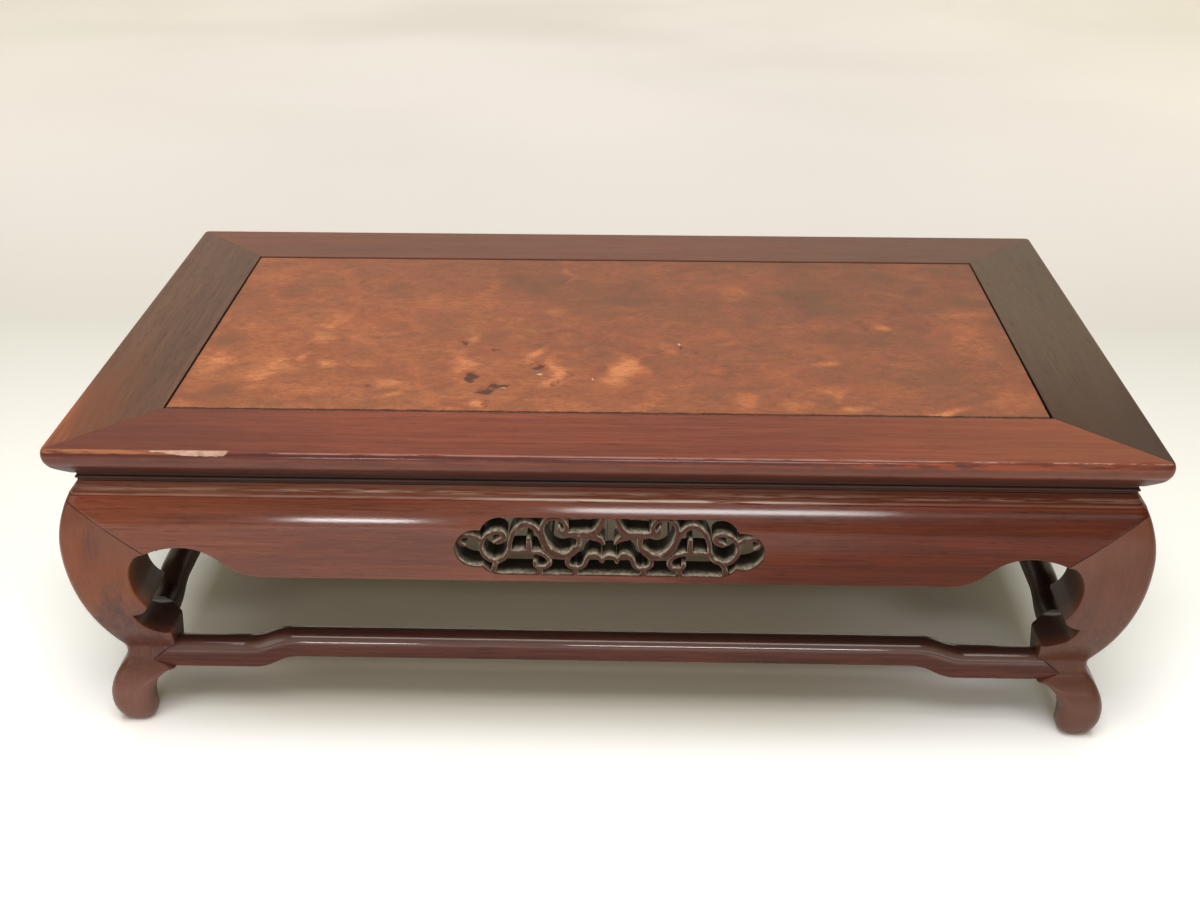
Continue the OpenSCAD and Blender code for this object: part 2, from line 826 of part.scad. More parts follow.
front_rail();
back_rail();
left_rail();
right_rail();
burl_panel();
batten(-batten_x);  // left_batten
batten(batten_x);  // right_batten
color(red_wood) on_front() waist(top_l);  // front_waist
color(red_wood) on_back() waist(top_l);  // back_waist
color(end_wood) on_left() waist(top_w);  // left_waist
color(end_wood) on_right() waist(top_w);  // right_waist
front_apron();
back_apron();
left_apron();
right_apron();
front_left_leg();
front_right_leg();
back_left_leg();
back_right_leg();
front_stretcher();
back_stretcher();
left_stretcher();
right_stretcher();
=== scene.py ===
# %% [markdown]
# # A low carved flower stand
# The stand is joinery in dark red hardwood: a mitred top frame round a burl panel, a thin
# waist, swelling aprons with a pierced window, knee-and-foot legs and humped stretchers.
# The packed model gives every piece its place. This script keeps those places, makes the
# shapes finer than the packed solids, and gives each wood its colour, grain and gloss.

# %% The packed frame
import math

import bmesh
import bpy
import numpy as np
from mathutils import Matrix, Vector


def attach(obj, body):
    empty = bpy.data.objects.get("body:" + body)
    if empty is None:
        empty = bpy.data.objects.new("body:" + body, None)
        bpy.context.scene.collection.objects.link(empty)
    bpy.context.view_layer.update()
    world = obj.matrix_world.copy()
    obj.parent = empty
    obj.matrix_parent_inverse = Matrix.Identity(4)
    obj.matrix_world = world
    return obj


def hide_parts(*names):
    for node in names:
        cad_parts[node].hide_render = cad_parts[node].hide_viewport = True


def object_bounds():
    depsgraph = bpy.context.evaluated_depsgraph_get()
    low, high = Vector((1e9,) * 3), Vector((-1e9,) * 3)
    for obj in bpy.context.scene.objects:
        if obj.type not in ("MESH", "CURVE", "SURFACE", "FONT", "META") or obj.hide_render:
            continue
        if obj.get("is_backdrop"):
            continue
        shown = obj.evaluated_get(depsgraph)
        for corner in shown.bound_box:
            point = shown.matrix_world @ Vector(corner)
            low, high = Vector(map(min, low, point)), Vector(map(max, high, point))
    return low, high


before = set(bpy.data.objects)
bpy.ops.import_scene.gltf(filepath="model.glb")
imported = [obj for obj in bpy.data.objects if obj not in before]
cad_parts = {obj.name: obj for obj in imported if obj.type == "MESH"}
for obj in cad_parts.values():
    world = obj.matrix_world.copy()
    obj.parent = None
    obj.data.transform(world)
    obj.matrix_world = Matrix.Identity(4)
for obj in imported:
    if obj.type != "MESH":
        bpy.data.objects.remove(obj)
cad_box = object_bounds()
print("nodes:", len(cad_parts), "box:", [tuple(round(c, 4) for c in p) for p in cad_box])

# %% [markdown]
# ## Camera and room
# The photograph's camera was found from the corners of the top. It stands a little right of
# the middle and looks down by 28 degrees. The lens is worked out for an image 1200 wide.
# It comes first, because every later choice is judged through it.

# %% Camera
IMAGE_W, FOCAL_PX, SENSOR_MM = 1200, 1497, 36
MM = 0.001
top_h = cad_box[1].z / MM
camera_at = Vector((14.2, -723.9, top_h + 310.3)) * MM
yaw, pitch = 0.0266, -0.4917

camera_data = bpy.data.cameras.new("camera")
camera_data.sensor_width = SENSOR_MM
camera_data.lens = FOCAL_PX / IMAGE_W * SENSOR_MM
camera_data.clip_end = 50
camera = bpy.data.objects.new("camera", camera_data)
bpy.context.scene.collection.objects.link(camera)
camera.matrix_world = (
    Matrix.Translation(camera_at)
    @ Matrix.Rotation(yaw, 4, "Z")
    @ Matrix.Rotation(math.pi / 2 + pitch, 4, "X")
)
bpy.context.scene.camera = camera
bpy.context.scene.view_settings.view_transform = "Standard"
print("lens", round(camera_data.lens, 2), "mm")

# %% [markdown]
# ## Nodes from Python
# Materials and Geometry Nodes are both graphs. One class wraps a socket, so that arithmetic
# written in Python becomes Math nodes, and one function adds any other node.


# %% A number in a node graph
def put(tree, kind, settings=None, sockets=None):
    """Adds a node, applies its settings, then fills its sockets with values or links."""
    node = tree.nodes.new(kind)
    for key, value in (settings or {}).items():
        if key == "stops":
            ramp = node.color_ramp
            while len(ramp.elements) < len(value):
                ramp.elements.new(0.5)
            for element, (place, colour) in zip(ramp.elements, value):
                element.position, element.color = place, (*colour, 1)
        else:
            setattr(node, key, value)
    for key, value in (sockets or {}).items():
        value = value.socket if isinstance(value, Number) else value
        if isinstance(value, bpy.types.NodeSocket):
            tree.links.new(value, node.inputs[key])
        else:
            node.inputs[key].default_value = value
    return node


class Number:
    """A socket that carries a number. Arithmetic on it adds Math nodes to its graph."""

    def __init__(self, tree, socket):
        self.tree, self.socket = tree, socket

    def math(self, operation, *terms):
        node = put(self.tree, "ShaderNodeMath", {"operation": operation}, dict(enumerate(terms)))
        return Number(self.tree, node.outputs[0])

    def __add__(self, other):
        return self.math("ADD", self, other)

    def __sub__(self, other):
        return self.math("SUBTRACT", self, other)

    def __rsub__(self, other):
        return self.math("SUBTRACT", other, self)

    def __mul__(self, other):
        return self.math("MULTIPLY", self, other)

    def __truediv__(self, other):
        return self.math("DIVIDE", self, other)

    def __abs__(self):
        return self.math("ABSOLUTE", self)

    __radd__ = __add__
    __rmul__ = __mul__

    def at_most(self, other):
        return self.math("MINIMUM", self, other)

    def at_least(self, other):
        return self.math("MAXIMUM", self, other)

    def ramp(self, low, high):
        """0 below low, 1 above high, and smooth between them."""
        node = put(self.tree, "ShaderNodeMapRange", {"interpolation_type": "SMOOTHSTEP"},
                   {"Value": self, "From Min": low, "From Max": high})
        return Number(self.tree, node.outputs[0])


print("node arithmetic:", ", ".join(name for name in vars(Number) if not name.startswith("_")))

# %% [markdown]
# ## Profiles
# The curves of apron and leg come from the same few rules as in the packed model: arcs that
# meet without a corner. "In" is the distance in from the outer edge, in millimetres.

# %% Sizes in millimetres
top_l = (cad_box[1].x - cad_box[0].x) / MM
top_w = (cad_box[1].y - cad_box[0].y) / MM
rail_w, nose_out, nose_h, under_in, frame_low = 44.2, 1.2, 7.5, 9.7, 141.7
panel_t, panel_drop, panel_gap, panel_end_gap, tongue_t, tongue_in = 8, 0.3, 0.4, 0.5, 4, 5.5
waist_in, waist_back, apron_top = 10.8, 17.2, 137
shoulder_h, shoulder_out, shoulder_step = 5.6, 3.6, 0.5
knee_out, knee_h, ankle_in, ankle_h, ankle_r, instep_r = 10.3, 104, 6.0, 38.5, 10, 12
foot_h, foot_out, toe_r = 14, 3.0, 2.2
leg_in, spring_h, arch_h, arch_run, ogee_run, apron_low = 40.2, 103.7, 107.5, 16.8, 36, 92
mitre_angle = math.radians(36.8)
mitre_slope = math.tan(mitre_angle)
stretcher_low, stretcher_in, stretcher_t = 29.9, 16.0, 13.2
stretcher_end_h, stretcher_mid_h, hump_rise, hump_run = 14.2, 12.5, 6.8, 23
print("top", round(top_l, 1), "x", round(top_w, 1), "x", round(top_h, 1), "mm")


# %% Curves
def sag(r, d):
    return r - np.sqrt(np.maximum(r * r - d * d, 0))


def arc_radius(run, drop):
    return (run * run + drop * drop) / (2 * drop)


def ogee(d, run, drop, r_end):
    """Fall of two tangent arcs, level at both ends, at distance d."""
    both = arc_radius(run, drop)
    turn = run * (both - r_end) / both
    return np.where(d < turn, sag(both - r_end, d), drop - sag(r_end, run - d))


def face_out(h):
    """How far the face of apron and leg stands out from the waist at height h."""
    h = np.asarray(h, float)
    swell_r = arc_radius(apron_top - shoulder_h - knee_h, knee_out - shoulder_out - shoulder_step)
    foot_r = arc_radius(ankle_h - foot_h, foot_out + ankle_in) - instep_r
    shin, instep = knee_h - ankle_h, ankle_h - foot_h
    toe = np.where(h < toe_r, sag(toe_r, toe_r - np.minimum(h, toe_r)), 0)
    return np.select(
        [h > apron_top - shoulder_h, h > knee_h, h > ankle_h, h > foot_h],
        [shoulder_out * (apron_top - h) / shoulder_h,
         knee_out - sag(swell_r, h - knee_h),
         knee_out - ogee(knee_h - h, shin, knee_out + ankle_in, ankle_r),
         ogee(ankle_h - h, instep, foot_out + ankle_in, foot_r) - ankle_in],
        foot_out - sag(foot_r, foot_h - h) - toe,
    )


def mitre_h(x_in):
    """Height of the joint between leg and apron, at a distance in from the end."""
    return spring_h + (leg_in - x_in) * mitre_slope


print("knee stands at in =", round(float(waist_in - face_out(knee_h)), 2))


# %% [markdown]
# ## From points to pieces
# Each piece is worked out as if it lay along the front edge, in millimetres, and is then
# turned to its own side. Its object stays at the origin and its place is in its mesh, as
# with the packed nodes, so a pattern on object coordinates stays where it is.

# %% Placing and making
SIDES = {
    "front": lambda x, y, z: (x, y - top_w / 2, z),
    "back": lambda x, y, z: (-x, top_w / 2 - y, z),
    "left": lambda x, y, z: (y - top_l / 2, -x, z),
    "right": lambda x, y, z: (top_l / 2 - y, x, z),
}
LENGTHS = {"front": top_l, "back": top_l, "left": top_w, "right": top_w}
OPPOSITE = {"front": "back", "left": "right"}
WELD = 1e-6
pieces_made = []


def new_object(name, mesh):
    piece = bpy.data.objects.new(name, mesh)
    bpy.context.scene.collection.objects.link(piece)
    return piece


def points_of(mesh):
    return np.array([vertex.co for vertex in mesh.vertices])


def move_points(mesh, points):
    mesh.vertices.foreach_set("co", points.astype(np.float32).ravel())
    mesh.update()


def store(mesh, name, values):
    """Keeps one number at each point, for a material to read."""
    field = mesh.attributes.new(name, "FLOAT", "POINT")
    field.data.foreach_set("value", values.astype(np.float32))


def finish_mesh(mesh, sharp=40):
    """Joins doubles, turns faces outwards and shades smoothly up to an angle."""
    shape = bmesh.new()
    shape.from_mesh(mesh)
    bmesh.ops.remove_doubles(shape, verts=shape.verts, dist=WELD)
    bmesh.ops.recalc_face_normals(shape, faces=shape.faces)
    for face in shape.faces:
        face.smooth = True
    shape.to_mesh(mesh)
    shape.free()
    mesh.set_sharp_from_angle(angle=math.radians(sharp))
    return mesh


def to_side(mesh, side):
    """Moves a mesh made along the front edge to its own side, and to metres."""
    move_points(mesh, np.stack(SIDES[side](*points_of(mesh).T), axis=1) * MM)
    return mesh


def add_piece(name, mesh, node):
    """Puts a finished mesh in the scene in place of a packed node."""
    piece = new_object(name, mesh)
    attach(piece, "root")
    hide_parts(node)
    pieces_made.append(piece)


print("sides:", LENGTHS)

# %% [markdown]
# ## The top frame and the waist
# Rails and waist strips are moulded bars with mitred ends. A plane has taken the sharp arris
# off the real ones, handling has rounded the corners of the top, and each mitre shows as a
# hairline. So the bar is a loft: its profile gets small fillets, its ends shrink a little
# just before the mitre, and the outermost points follow a round corner in plan.

# %% Rounded and divided outlines
def fillet(points, radii, steps=4):
    """Rounds the corners of a closed outline."""
    points, out = [np.array(p, float) for p in points], []
    for i, (p, r) in enumerate(zip(points, radii)):
        if r == 0:
            out.append(p)
            continue
        a, b = points[i - 1] - p, points[(i + 1) % len(points)] - p
        a, b = a / np.linalg.norm(a), b / np.linalg.norm(b)
        half = math.acos(np.clip(a @ b, -1, 1)) / 2
        middle = p + (a + b) / np.linalg.norm(a + b) * r / math.sin(half)
        start, end = p + a * r / math.tan(half), p + b * r / math.tan(half)
        turn = math.pi - 2 * half
        for k in range(steps + 1):
            t = k / steps
            s, e = math.sin((1 - t) * turn), math.sin(t * turn)
            out.append(middle + ((start - middle) * s + (end - middle) * e) / math.sin(turn))
    return np.array(out)


def stepped(outline, near=1.2, most=9):
    """Adds points next to the corners and along the flats, so that wear can stay at edges."""
    out = []
    for p, q in zip(outline, np.roll(outline, -1, axis=0)):
        out.append(p)
        length = np.linalg.norm(q - p)
        if length > 3 * near:
            parts = max(1, math.ceil((length - 2 * near) / most))
            stops = near + (length - 2 * near) * np.arange(parts + 1) / parts
            out += [p + (q - p) * stop / length for stop in stops]
    return np.array(out)


square = [(0, 0), (20, 0), (20, 20), (0, 20)]
print("a square of 20 with rounded corners:", len(stepped(fillet(square, [2] * 4))), "points")


# %% A mitred bar
def loft(rings):
    """A closed mesh through rings with the same number of points."""
    n, points, faces = len(rings[0]), np.concatenate(rings), []
    for k in range(len(rings) - 1):
        for i in range(n):
            a, b = k * n + i, k * n + (i + 1) % n
            faces.append((a, a + n, b + n, b))
    faces.append(tuple(range(n)))
    last = (len(rings) - 1) * n
    faces.append(tuple(range(last + n - 1, last - 1, -1)))
    mesh = bpy.data.meshes.new("loft")
    mesh.from_pydata(points.tolist(), [], faces)
    return mesh


# Rings near a mitre, by their distance from it, where wear can gather
END_STEPS = (4, 2.4, 1.4, 0.8)
STATIONS = 24


def mitred_bar(profile, length, corner_r, crack):
    """A loft of [in, height] points along the front, mitred at both ends."""
    a, z = profile.T
    inward = a.mean() - a, z.mean() - z
    size = np.hypot(*inward)
    half, rings = length / 2, []
    ends = [(step, 0) for step in END_STEPS] + [(crack, 0), (0, crack)]
    for side in (-1, 1):
        part = []
        for t, shrink in ends:
            u, v = a + t, a.copy()
            bent = (a < corner_r) & (u < corner_r)
            r, turn = corner_r - a, np.zeros_like(a)
            turn[bent] = math.pi / 4 * ((corner_r - u) / r)[bent]
            u = np.where(bent, corner_r - r * np.sin(turn), u)
            v = np.where(bent, corner_r - r * np.cos(turn), v)
            u, v = u + inward[0] / size * shrink, v + inward[0] / size * shrink
            part.append(np.stack([side * (half - u), v, z + inward[1] / size * shrink], 1))
        rings.append(part)
    left_end, right_end = rings[0][0][:, 0], rings[1][0][:, 0]
    stretch = np.linspace(left_end, right_end, STATIONS)[1:-1]
    long_part = [np.stack([x, a, z], 1) for x in stretch]
    return loft(rings[0][::-1] + long_part + rings[1])


print("rings in a mitred bar:", 2 * (len(END_STEPS) + 2) + STATIONS - 2)


# %% Rails
TOP_CORNER_R, RAIL_CRACK = 3.6, 0.06
GROOVE_ROOM = 0.4
# Below its bulge the nose is one curve down to the waist, drawn by four control points
BELLY = np.array([(0, nose_h / 2), (0, 7.6), (2.2, 9.9), (under_in, top_h - frame_low)])


def rail_profile():
    nose_r = arc_radius(nose_h / 2, nose_out)
    groove_low = top_h - panel_drop - panel_t
    groove_high = groove_low + tongue_t
    groove_in = rail_w - tongue_in - GROOVE_ROOM
    nose = [(sag(nose_r, nose_h / 2 - d), top_h - d) for d in np.linspace(0, nose_h / 2, 5)]
    for t in np.linspace(0.1, 0.9, 9):
        share = np.array([(1 - t) ** 3, 3 * t * (1 - t) ** 2, 3 * t * t * (1 - t), t ** 3])
        at = share @ BELLY
        nose.append((at[0], top_h - at[1]))
    corners = nose + [
        (under_in, frame_low), (rail_w, frame_low), (rail_w, groove_low), (groove_in, groove_low),
        (groove_in, groove_high), (rail_w, groove_high), (rail_w, top_h),
    ]
    arris_r, under_r, inner_r, joint_r = 0.7, 0.4, 0.3, 0.25
    radii = [arris_r] + [0] * (len(nose) - 1) + [under_r, inner_r, 0, 0, 0, 0, joint_r]
    return stepped(fillet(corners, radii))


for side, length in LENGTHS.items():
    mesh = to_side(mitred_bar(rail_profile(), length, TOP_CORNER_R, RAIL_CRACK), side)
    add_piece(side + "_rail_planed", finish_mesh(mesh, 35), side + "_rail")
    print(side, "rail:", len(mesh.vertices), "points")


# %% Waist strips
WAIST_CORNER_R, WAIST_CRACK = 0.1, 0.05
BEAD_R, BEAD_UP, BEAD_BACK = 0.8, 2.1, 0.5


def waist_profile():
    turn = np.radians(np.linspace(0, 180, 13))
    face_in, bead_z = waist_in + BEAD_BACK, apron_top + BEAD_UP
    bead = np.stack([face_in - BEAD_R * np.sin(turn), bead_z + BEAD_R * np.cos(turn)], 1)
    corners = [(waist_back, apron_top), (waist_back, frame_low), (face_in, frame_low)]
    return stepped(np.array(corners + bead.tolist() + [(face_in, apron_top)]), 0.4)


for side, length in LENGTHS.items():
    mesh = to_side(mitred_bar(waist_profile(), length, WAIST_CORNER_R, WAIST_CRACK), side)
    add_piece(side + "_waist_beaded", finish_mesh(mesh, 50), side + "_waist")
print("waist strips:", len(LENGTHS), "of", len(waist_profile()), "points round")

# %% [markdown]
# ## The burl panel
# The panel is a thick board of burl. It floats in the frame's grooves with an open joint all
# round, wider at the ends, where the cut edge is ragged. Its face is almost flat: a few
# shallow pits and a faint waviness break up the reflection. A grid of points does this,
# with smooth random waves from a fixed seed.

# %% Smooth random waves
chance = np.random.default_rng(11)
WAVES = 24


def waves(x, y, size):
    """Smooth unevenness between about -1 and 1, with waves about this long."""
    total = np.zeros_like(x, dtype=float)
    for _ in range(WAVES):
        angle, phase = chance.uniform(0, 2 * math.pi, 2)
        k = 2 * math.pi / (size * chance.uniform(0.7, 1.8))
        total += np.sin(k * (x * math.cos(angle) + y * math.sin(angle)) + phase)
    return total / math.sqrt(WAVES)


print("waves draw", 3 * WAVES, "random numbers each time")

# %% Voids and clouds of this panel
panel_l = top_l - 2 * rail_w - 2 * panel_end_gap
panel_w = top_w - 2 * rail_w - 2 * panel_gap
# Hollows in the burl as [x, y, length, width, depth]
VOIDS = [
    (-66.5, -61.5, 6, 9.5, 0.6), (-58, -78, 8, 6, 0.5), (-52, -72, 11, 5, 0.45),
    (-33.5, -50, 5, 7.5, 0.5), (-37, -46.5, 4, 3, 0.3), (-25.5, -68.5, 2.6, 6, 0.3),
    (-18.5, -58, 2.6, 10, 0.25), (-73.5, -22, 2.2, 9, 0.25), (-57, -92, 3.4, 4.5, 0.25),
    (37, -26, 1.8, 7, 0.4), (44, -31, 1.8, 5, 0.3), (-57.5, -29, 4, 3, 0.25),
    (133.5, 3, 3.6, 9, 0.2), (132.5, 12, 3, 3, 0.2), (168, 10, 1.6, 4.5, 0.3),
    (178, -32, 4, 1, 0.2), (196, -55.5, 6, 1.2, 0.25), (-151, 65, 3, 5, 0.2), (-140, 62, 5, 3.5, 0.2),
    (46, -84, 17, 3, 0.15), (-36, -24, 5, 6, 0.15), (-114, -74, 6, 5, 0.15),
]
# Clouds in the burl as [x, y, length, width, strength]; pale above 0, dark below
CLOUDS = [
    (-150, -40, 8, 13, 1), (-140, -53, 7, 13, 0.8), (-107, -70, 18, 8, 0.8), (-104, -84, 9, 12, 0.9),
    (-62, -93, 11, 11, 1.2), (-72, -15, 9, 16, 0.9), (-168, -58, 20, 34, 0.6), (-198, -48, 18, 22, 0.6),
    (10, -48, 17, 28, 1.2), (3, -66, 14, 14, 0.9), (143, 4, 9, 14, 1.1), (108, -40, 17, 12, 0.8),
    (108, -76, 8, 20, 0.7), (117, -94, 14, 10, 1.1), (160, -95, 18, 7, 1), (-150, -16, 12, 14, 0.7),
    (-38, -34, 9, 18, 0.9), (-25, -56, 6, 34, 0.9), (-72, -48, 12, 30, 0.8), (66, -86, 12, 18, 0.8),
    (-30, 22, 12, 9, 0.5), (-27, 72, 5, 26, 0.7), (185, -2, 26, 70, 0.55), (60, -20, 10, 8, 0.6),
    (-145, 5, 8, 30, 0.5), (-68, 50, 10, 60, 0.35), (-90, 30, 40, 18, 0.35), (30, -26, 8, 8, 0.5),
    (70, 50, 15, 30, 0.35), (190, -80, 26, 30, 0.5), (88, -92, 12, 10, 0.6), (-120, -97, 22, 8, 0.6),
    (-43, 62, 28, 40, -1), (-12, 38, 44, 26, -0.9), (-122, 50, 24, 16, -0.8), (-176, 50, 24, 16, -0.8),
    (-196, -20, 22, 24, -0.9), (-192, -86, 44, 22, -1), (-145, -92, 50, 12, -0.8), (108, 52, 34, 34, -0.9),
    (120, 28, 34, 16, -0.9), (120, -8, 24, 22, -0.9), (75, 8, 12, 20, -0.7), (98, 90, 14, 20, -0.8),
    (160, -58, 30, 18, -0.8), (150, -82, 44, 5, -0.7), (22, -46, 9, 14, -0.6), (5, 46, 22, 30, -0.6),
    (-160, 16, 18, 14, -0.5), (66, -71, 26, 8, -0.6), (-112, -16, 18, 14, -0.6), (168, 55, 14, 18, -0.7),
    (-6, -30, 12, 34, -0.5), (-96, 88, 120, 10, -0.4), (100, 94, 120, 8, -0.4), (145, 75, 40, 26, -0.5),
]


def patches(x, y, spots, strength=1.0):
    """Sum of soft oval spots at points in the panel's plane."""
    total = np.zeros_like(x)
    for px, py, length, width, deep in spots:
        reach = ((x - px) / length * 2) ** 2 + ((y - py) / width * 2) ** 2
        total = total + deep * strength * np.exp(-np.minimum(reach, 30) ** 1.4)
    return total


print("voids:", len(VOIDS), "clouds:", len(CLOUDS))


# %% Upper side of the panel
GRID_L, GRID_W = 344, 168
panel_face_h = top_h - panel_drop
DISH, RIM_DROP, RIM_ROUND = 0.02, 0.3, 0.6
# Ragged ends, the right joint's widening, and how far the back edge fills its joint
RAGGED, WIDE_JOINT, BACK_FILLS = 0.22, 0.6, 0.24


def panel_face():
    """Points of the panel's upper side, and how far each lies in a pale or dark cloud."""
    x, y = np.meshgrid(np.linspace(-1, 1, GRID_L) * panel_l / 2,
                       np.linspace(-1, 1, GRID_W) * panel_w / 2, indexing="ij")
    # The end joints are ragged, and the right one widens to the front
    ragged = np.clip(waves(y, y, 9) * 0.5 + waves(y, y, 2.5) * 0.6, -0.3, 1) * RAGGED
    edge = np.abs(x) > panel_l / 2 - 0.1
    wide = WIDE_JOINT * np.clip((40 - y) / 130, 0, 1) * (x > 0)
    x = x - np.sign(x) * edge * (np.maximum(ragged, 0) * 1.4 + wide)
    bent_x, bent_y = x + waves(x, y, 5) * 1.2, y + waves(x, y, 5) * 1.2
    depth = DISH + DISH * waves(x, y, 45) + patches(bent_x, bent_y, VOIDS)
    border = np.minimum(panel_l / 2 - np.abs(x), panel_w / 2 - np.abs(y))
    depth = depth + RIM_DROP * np.clip(1 - border / RIM_ROUND, 0, 1) ** 2
    z = panel_face_h - np.maximum(depth, 0)
    y = y + BACK_FILLS * (y > panel_w / 2 - 0.1)
    bent_x, bent_y = x + waves(x, y, 22) * 3.5, y + waves(x, y, 22) * 3.5
    clouds = patches(bent_x, bent_y, CLOUDS).ravel()
    return np.stack([x, y, z], 2).reshape(-1, 3).tolist(), clouds


def grid_rim(nx, ny):
    """Numbers of the points round a grid, in order."""
    return ([i * ny for i in range(nx)] + [(nx - 1) * ny + j for j in range(1, ny)]
            + [i * ny + ny - 1 for i in range(nx - 2, -1, -1)] + [j for j in range(ny - 2, 0, -1)])


print("panel's upper side:", GRID_L, "x", GRID_W, "points, rim of", len(grid_rim(GRID_L, GRID_W)))


# %% Sides and tongue of the panel
def panel_mesh():
    nx, ny = GRID_L, GRID_W
    points, clouds = panel_face()
    faces = [(i * ny + j, (i + 1) * ny + j, (i + 1) * ny + j + 1, i * ny + j + 1)
             for i in range(nx - 1) for j in range(ny - 1)]
    rim = grid_rim(nx, ny)
    low = panel_face_h - panel_t
    step = low + tongue_t
    reach = tongue_in + np.array([panel_end_gap, panel_gap])
    above = rim
    for height, grow in ((step, 0), (step, 1), (low, 1)):
        below = list(range(len(points), len(points) + len(rim)))
        for r in rim:
            px, py, _ = points[r]
            side_x, side_y = abs(px) > panel_l / 2 - 1.4, abs(py) > panel_w / 2 - 1e-6
            points.append([px + grow * side_x * np.sign(px) * reach[0],
                           py + grow * side_y * np.sign(py) * reach[1], height])
        for k in range(len(rim)):
            n = (k + 1) % len(rim)
            faces.append((above[n], above[k], below[k], below[n]))
        above = below
    faces.append(tuple(below[::-1]))
    mesh = bpy.data.meshes.new("panel")
    mesh.from_pydata((np.array(points) * MM).tolist(), [], faces)
    store(mesh, "cloud", np.concatenate([clouds, np.zeros(len(points) - len(clouds))]))
    return mesh


mesh = finish_mesh(panel_mesh(), 50)
add_piece("burl_panel_floated", mesh, "burl_panel")
print("panel:", len(mesh.vertices), "points")

# %% [markdown]
# ## The scrolls
# The pierced window holds a mirrored scroll pattern: open rings, spirals that end in a leaf, a
# forked bar and a wave below. A carver draws each line in one sweep and lets its width swell
# and taper. So the pattern is a list of strokes, each through a few points with a width at
# each. A distance field joins them: a point's value is how deep it lies inside the nearest
# stroke, and a soft maximum runs neighbours into each other as a carver's gouge does.

# %% Strokes of the left half, as [x, z, width] in millimetres from the window's middle
# Size and place of the window; the strokes were drawn for half a window of DRAWN_HALF
carve_l, carve_h, carve_shift, carve_z = 141, 28.3, 3, 110.2
DRAWN_HALF = 67.8
STROKES = {
    "ring, arch and sweep": [
        (-50.9, 2.2, 0.9), (-48.3, 2.6, 2.4), (-46.3, 4.2, 2.8), (-47.1, 6.1, 2.4), (-49.8, 6.9, 2.1),
        (-53.2, 5.6, 2.2), (-55.9, 2.3, 2.2), (-56.4, -1.3, 2.2), (-54.9, -5.2, 2.3), (-50.9, -7.7, 2.5),
        (-46.5, -6.2, 2.5), (-44.2, -2.3, 2.3), (-43.7, 2, 2.2), (-42.3, 6.1, 2.3), (-39.7, 9.3, 2.6),
        (-36.5, 10.6, 2.8), (-33.4, 9.3, 2.6), (-31, 6.4, 2.4), (-29.5, 2.5, 2.3), (-27.9, -1.1, 2.3),
        (-24.9, -4.2, 2.3), (-21.5, -5.4, 2.3), (-17.7, -4.5, 2.3), (-14.6, -1.7, 2.4), (-13.3, 1.8, 2.6),
        (-13.6, 5.2, 2.8)],
    "end hook": [
        (-63.6, 0.2, 1.3), (-65.4, 1, 1.8), (-66.3, 2.9, 1.8), (-64.5, 4.6, 2), (-61.4, 5, 2.2),
        (-58.6, 4.2, 2.2), (-56.1, 2.8, 2)],
    "basket with a leaf": [
        (-22.1, 10.1, 1), (-21.7, 7.7, 2.4), (-19.9, 6.8, 2.8), (-18.9, 9.3, 2.3), (-20.3, 12.2, 2.2),
        (-23.7, 13.6, 2.2), (-27.1, 13, 2.2), (-29.2, 10.5, 2.2), (-29.7, 7.2, 2.2), (-28.7, 3.9, 2),
        (-26.9, 0.2, 2), (-24.1, -2.8, 2), (-20.7, -3.8, 2), (-17.5, -3, 2.2), (-15, -0.6, 2.2)],
    "bar": [(-18.6, 6.5, 2.2), (-15.9, 6, 3.2), (-12, 6.1, 3.6), (-7.2, 5.8, 4.2)],
    "upper prong": [
        (-7.6, 6, 3.6), (-4.9, 8.8, 3.2), (-3.7, 11.2, 2.6), (-2.4, 14.1, 2.2), (-2.1, 15.5, 2.2)],
    "lower prong": [(-7.6, 5.5, 3.4), (-4.5, 4, 2.8), (-2.3, 1.8, 0.8)],
    "post": [(-35.5, 3.7, 2), (-35.3, 0.6, 2.6), (-35.4, -2.5, 2.8)],
    "arm": [
        (-43.9, -2.6, 1.8), (-39.5, -2.4, 2), (-35.2, -2.6, 2.2), (-31.2, -3.1, 2.2), (-28.1, -4.6, 2.2),
        (-26.3, -7.4, 2.3), (-27.1, -10, 2.3), (-30.1, -11.2, 2.3), (-32.4, -10.2, 2), (-32.7, -8.1, 2.2)],
    "wave": [
        (-18.3, -5.4, 2.4), (-18.5, -8.6, 2.2), (-16.5, -10.7, 2.3), (-13.3, -11, 2.3), (-11.1, -9.4, 2.2),
        (-10, -6.3, 2.2), (-8.3, -4, 2.2), (-6, -3.7, 2.2), (-4.5, -5.4, 2), (-3.2, -7.4, 1.6)],
    "peak": [(-3.3, -7, 1.4), (-1.9, -5.1, 2.2), (0.6, -4.4, 2.6)],
    "ties to the rim": [(-49.2, -8, 2.2), (-50.7, -10.4, 2.4), (-51.8, -15, 3)],
    "tie under the arm": [(-30.6, -11.4, 2.4), (-30.8, -15, 2.8)],
    "tie under the wave": [(-15, -11, 2.4), (-15, -15, 2.8)],
}


print("scroll strokes:", len(STROKES))


# %% Fields of strokes and window
STROKE_SHARE, BLEND = 0.92, 0.7
# The window: radius of its end corners, where its straight part ends, and its end lobe
LOBE_R, STRAIGHT_END, PAST_MIDDLE = 9, -48, 40
END_LOBE = (-58.6, -1, 9.2)


def smooth_path(points, parts=5):
    """A curve through all points, with its widths."""
    p = np.array([points[0]] + points + [points[-1]], float)
    path = []
    for a, b, c, d in zip(p[:-3], p[1:-2], p[2:-1], p[3:]):
        for t in np.arange(parts) / parts:
            path.append(((2 * b) + (c - a) * t + (2 * a - 5 * b + 4 * c - d) * t ** 2
                         + (3 * b - a - 3 * c + d) * t ** 3) / 2)
    return np.array(path + [p[-1]])


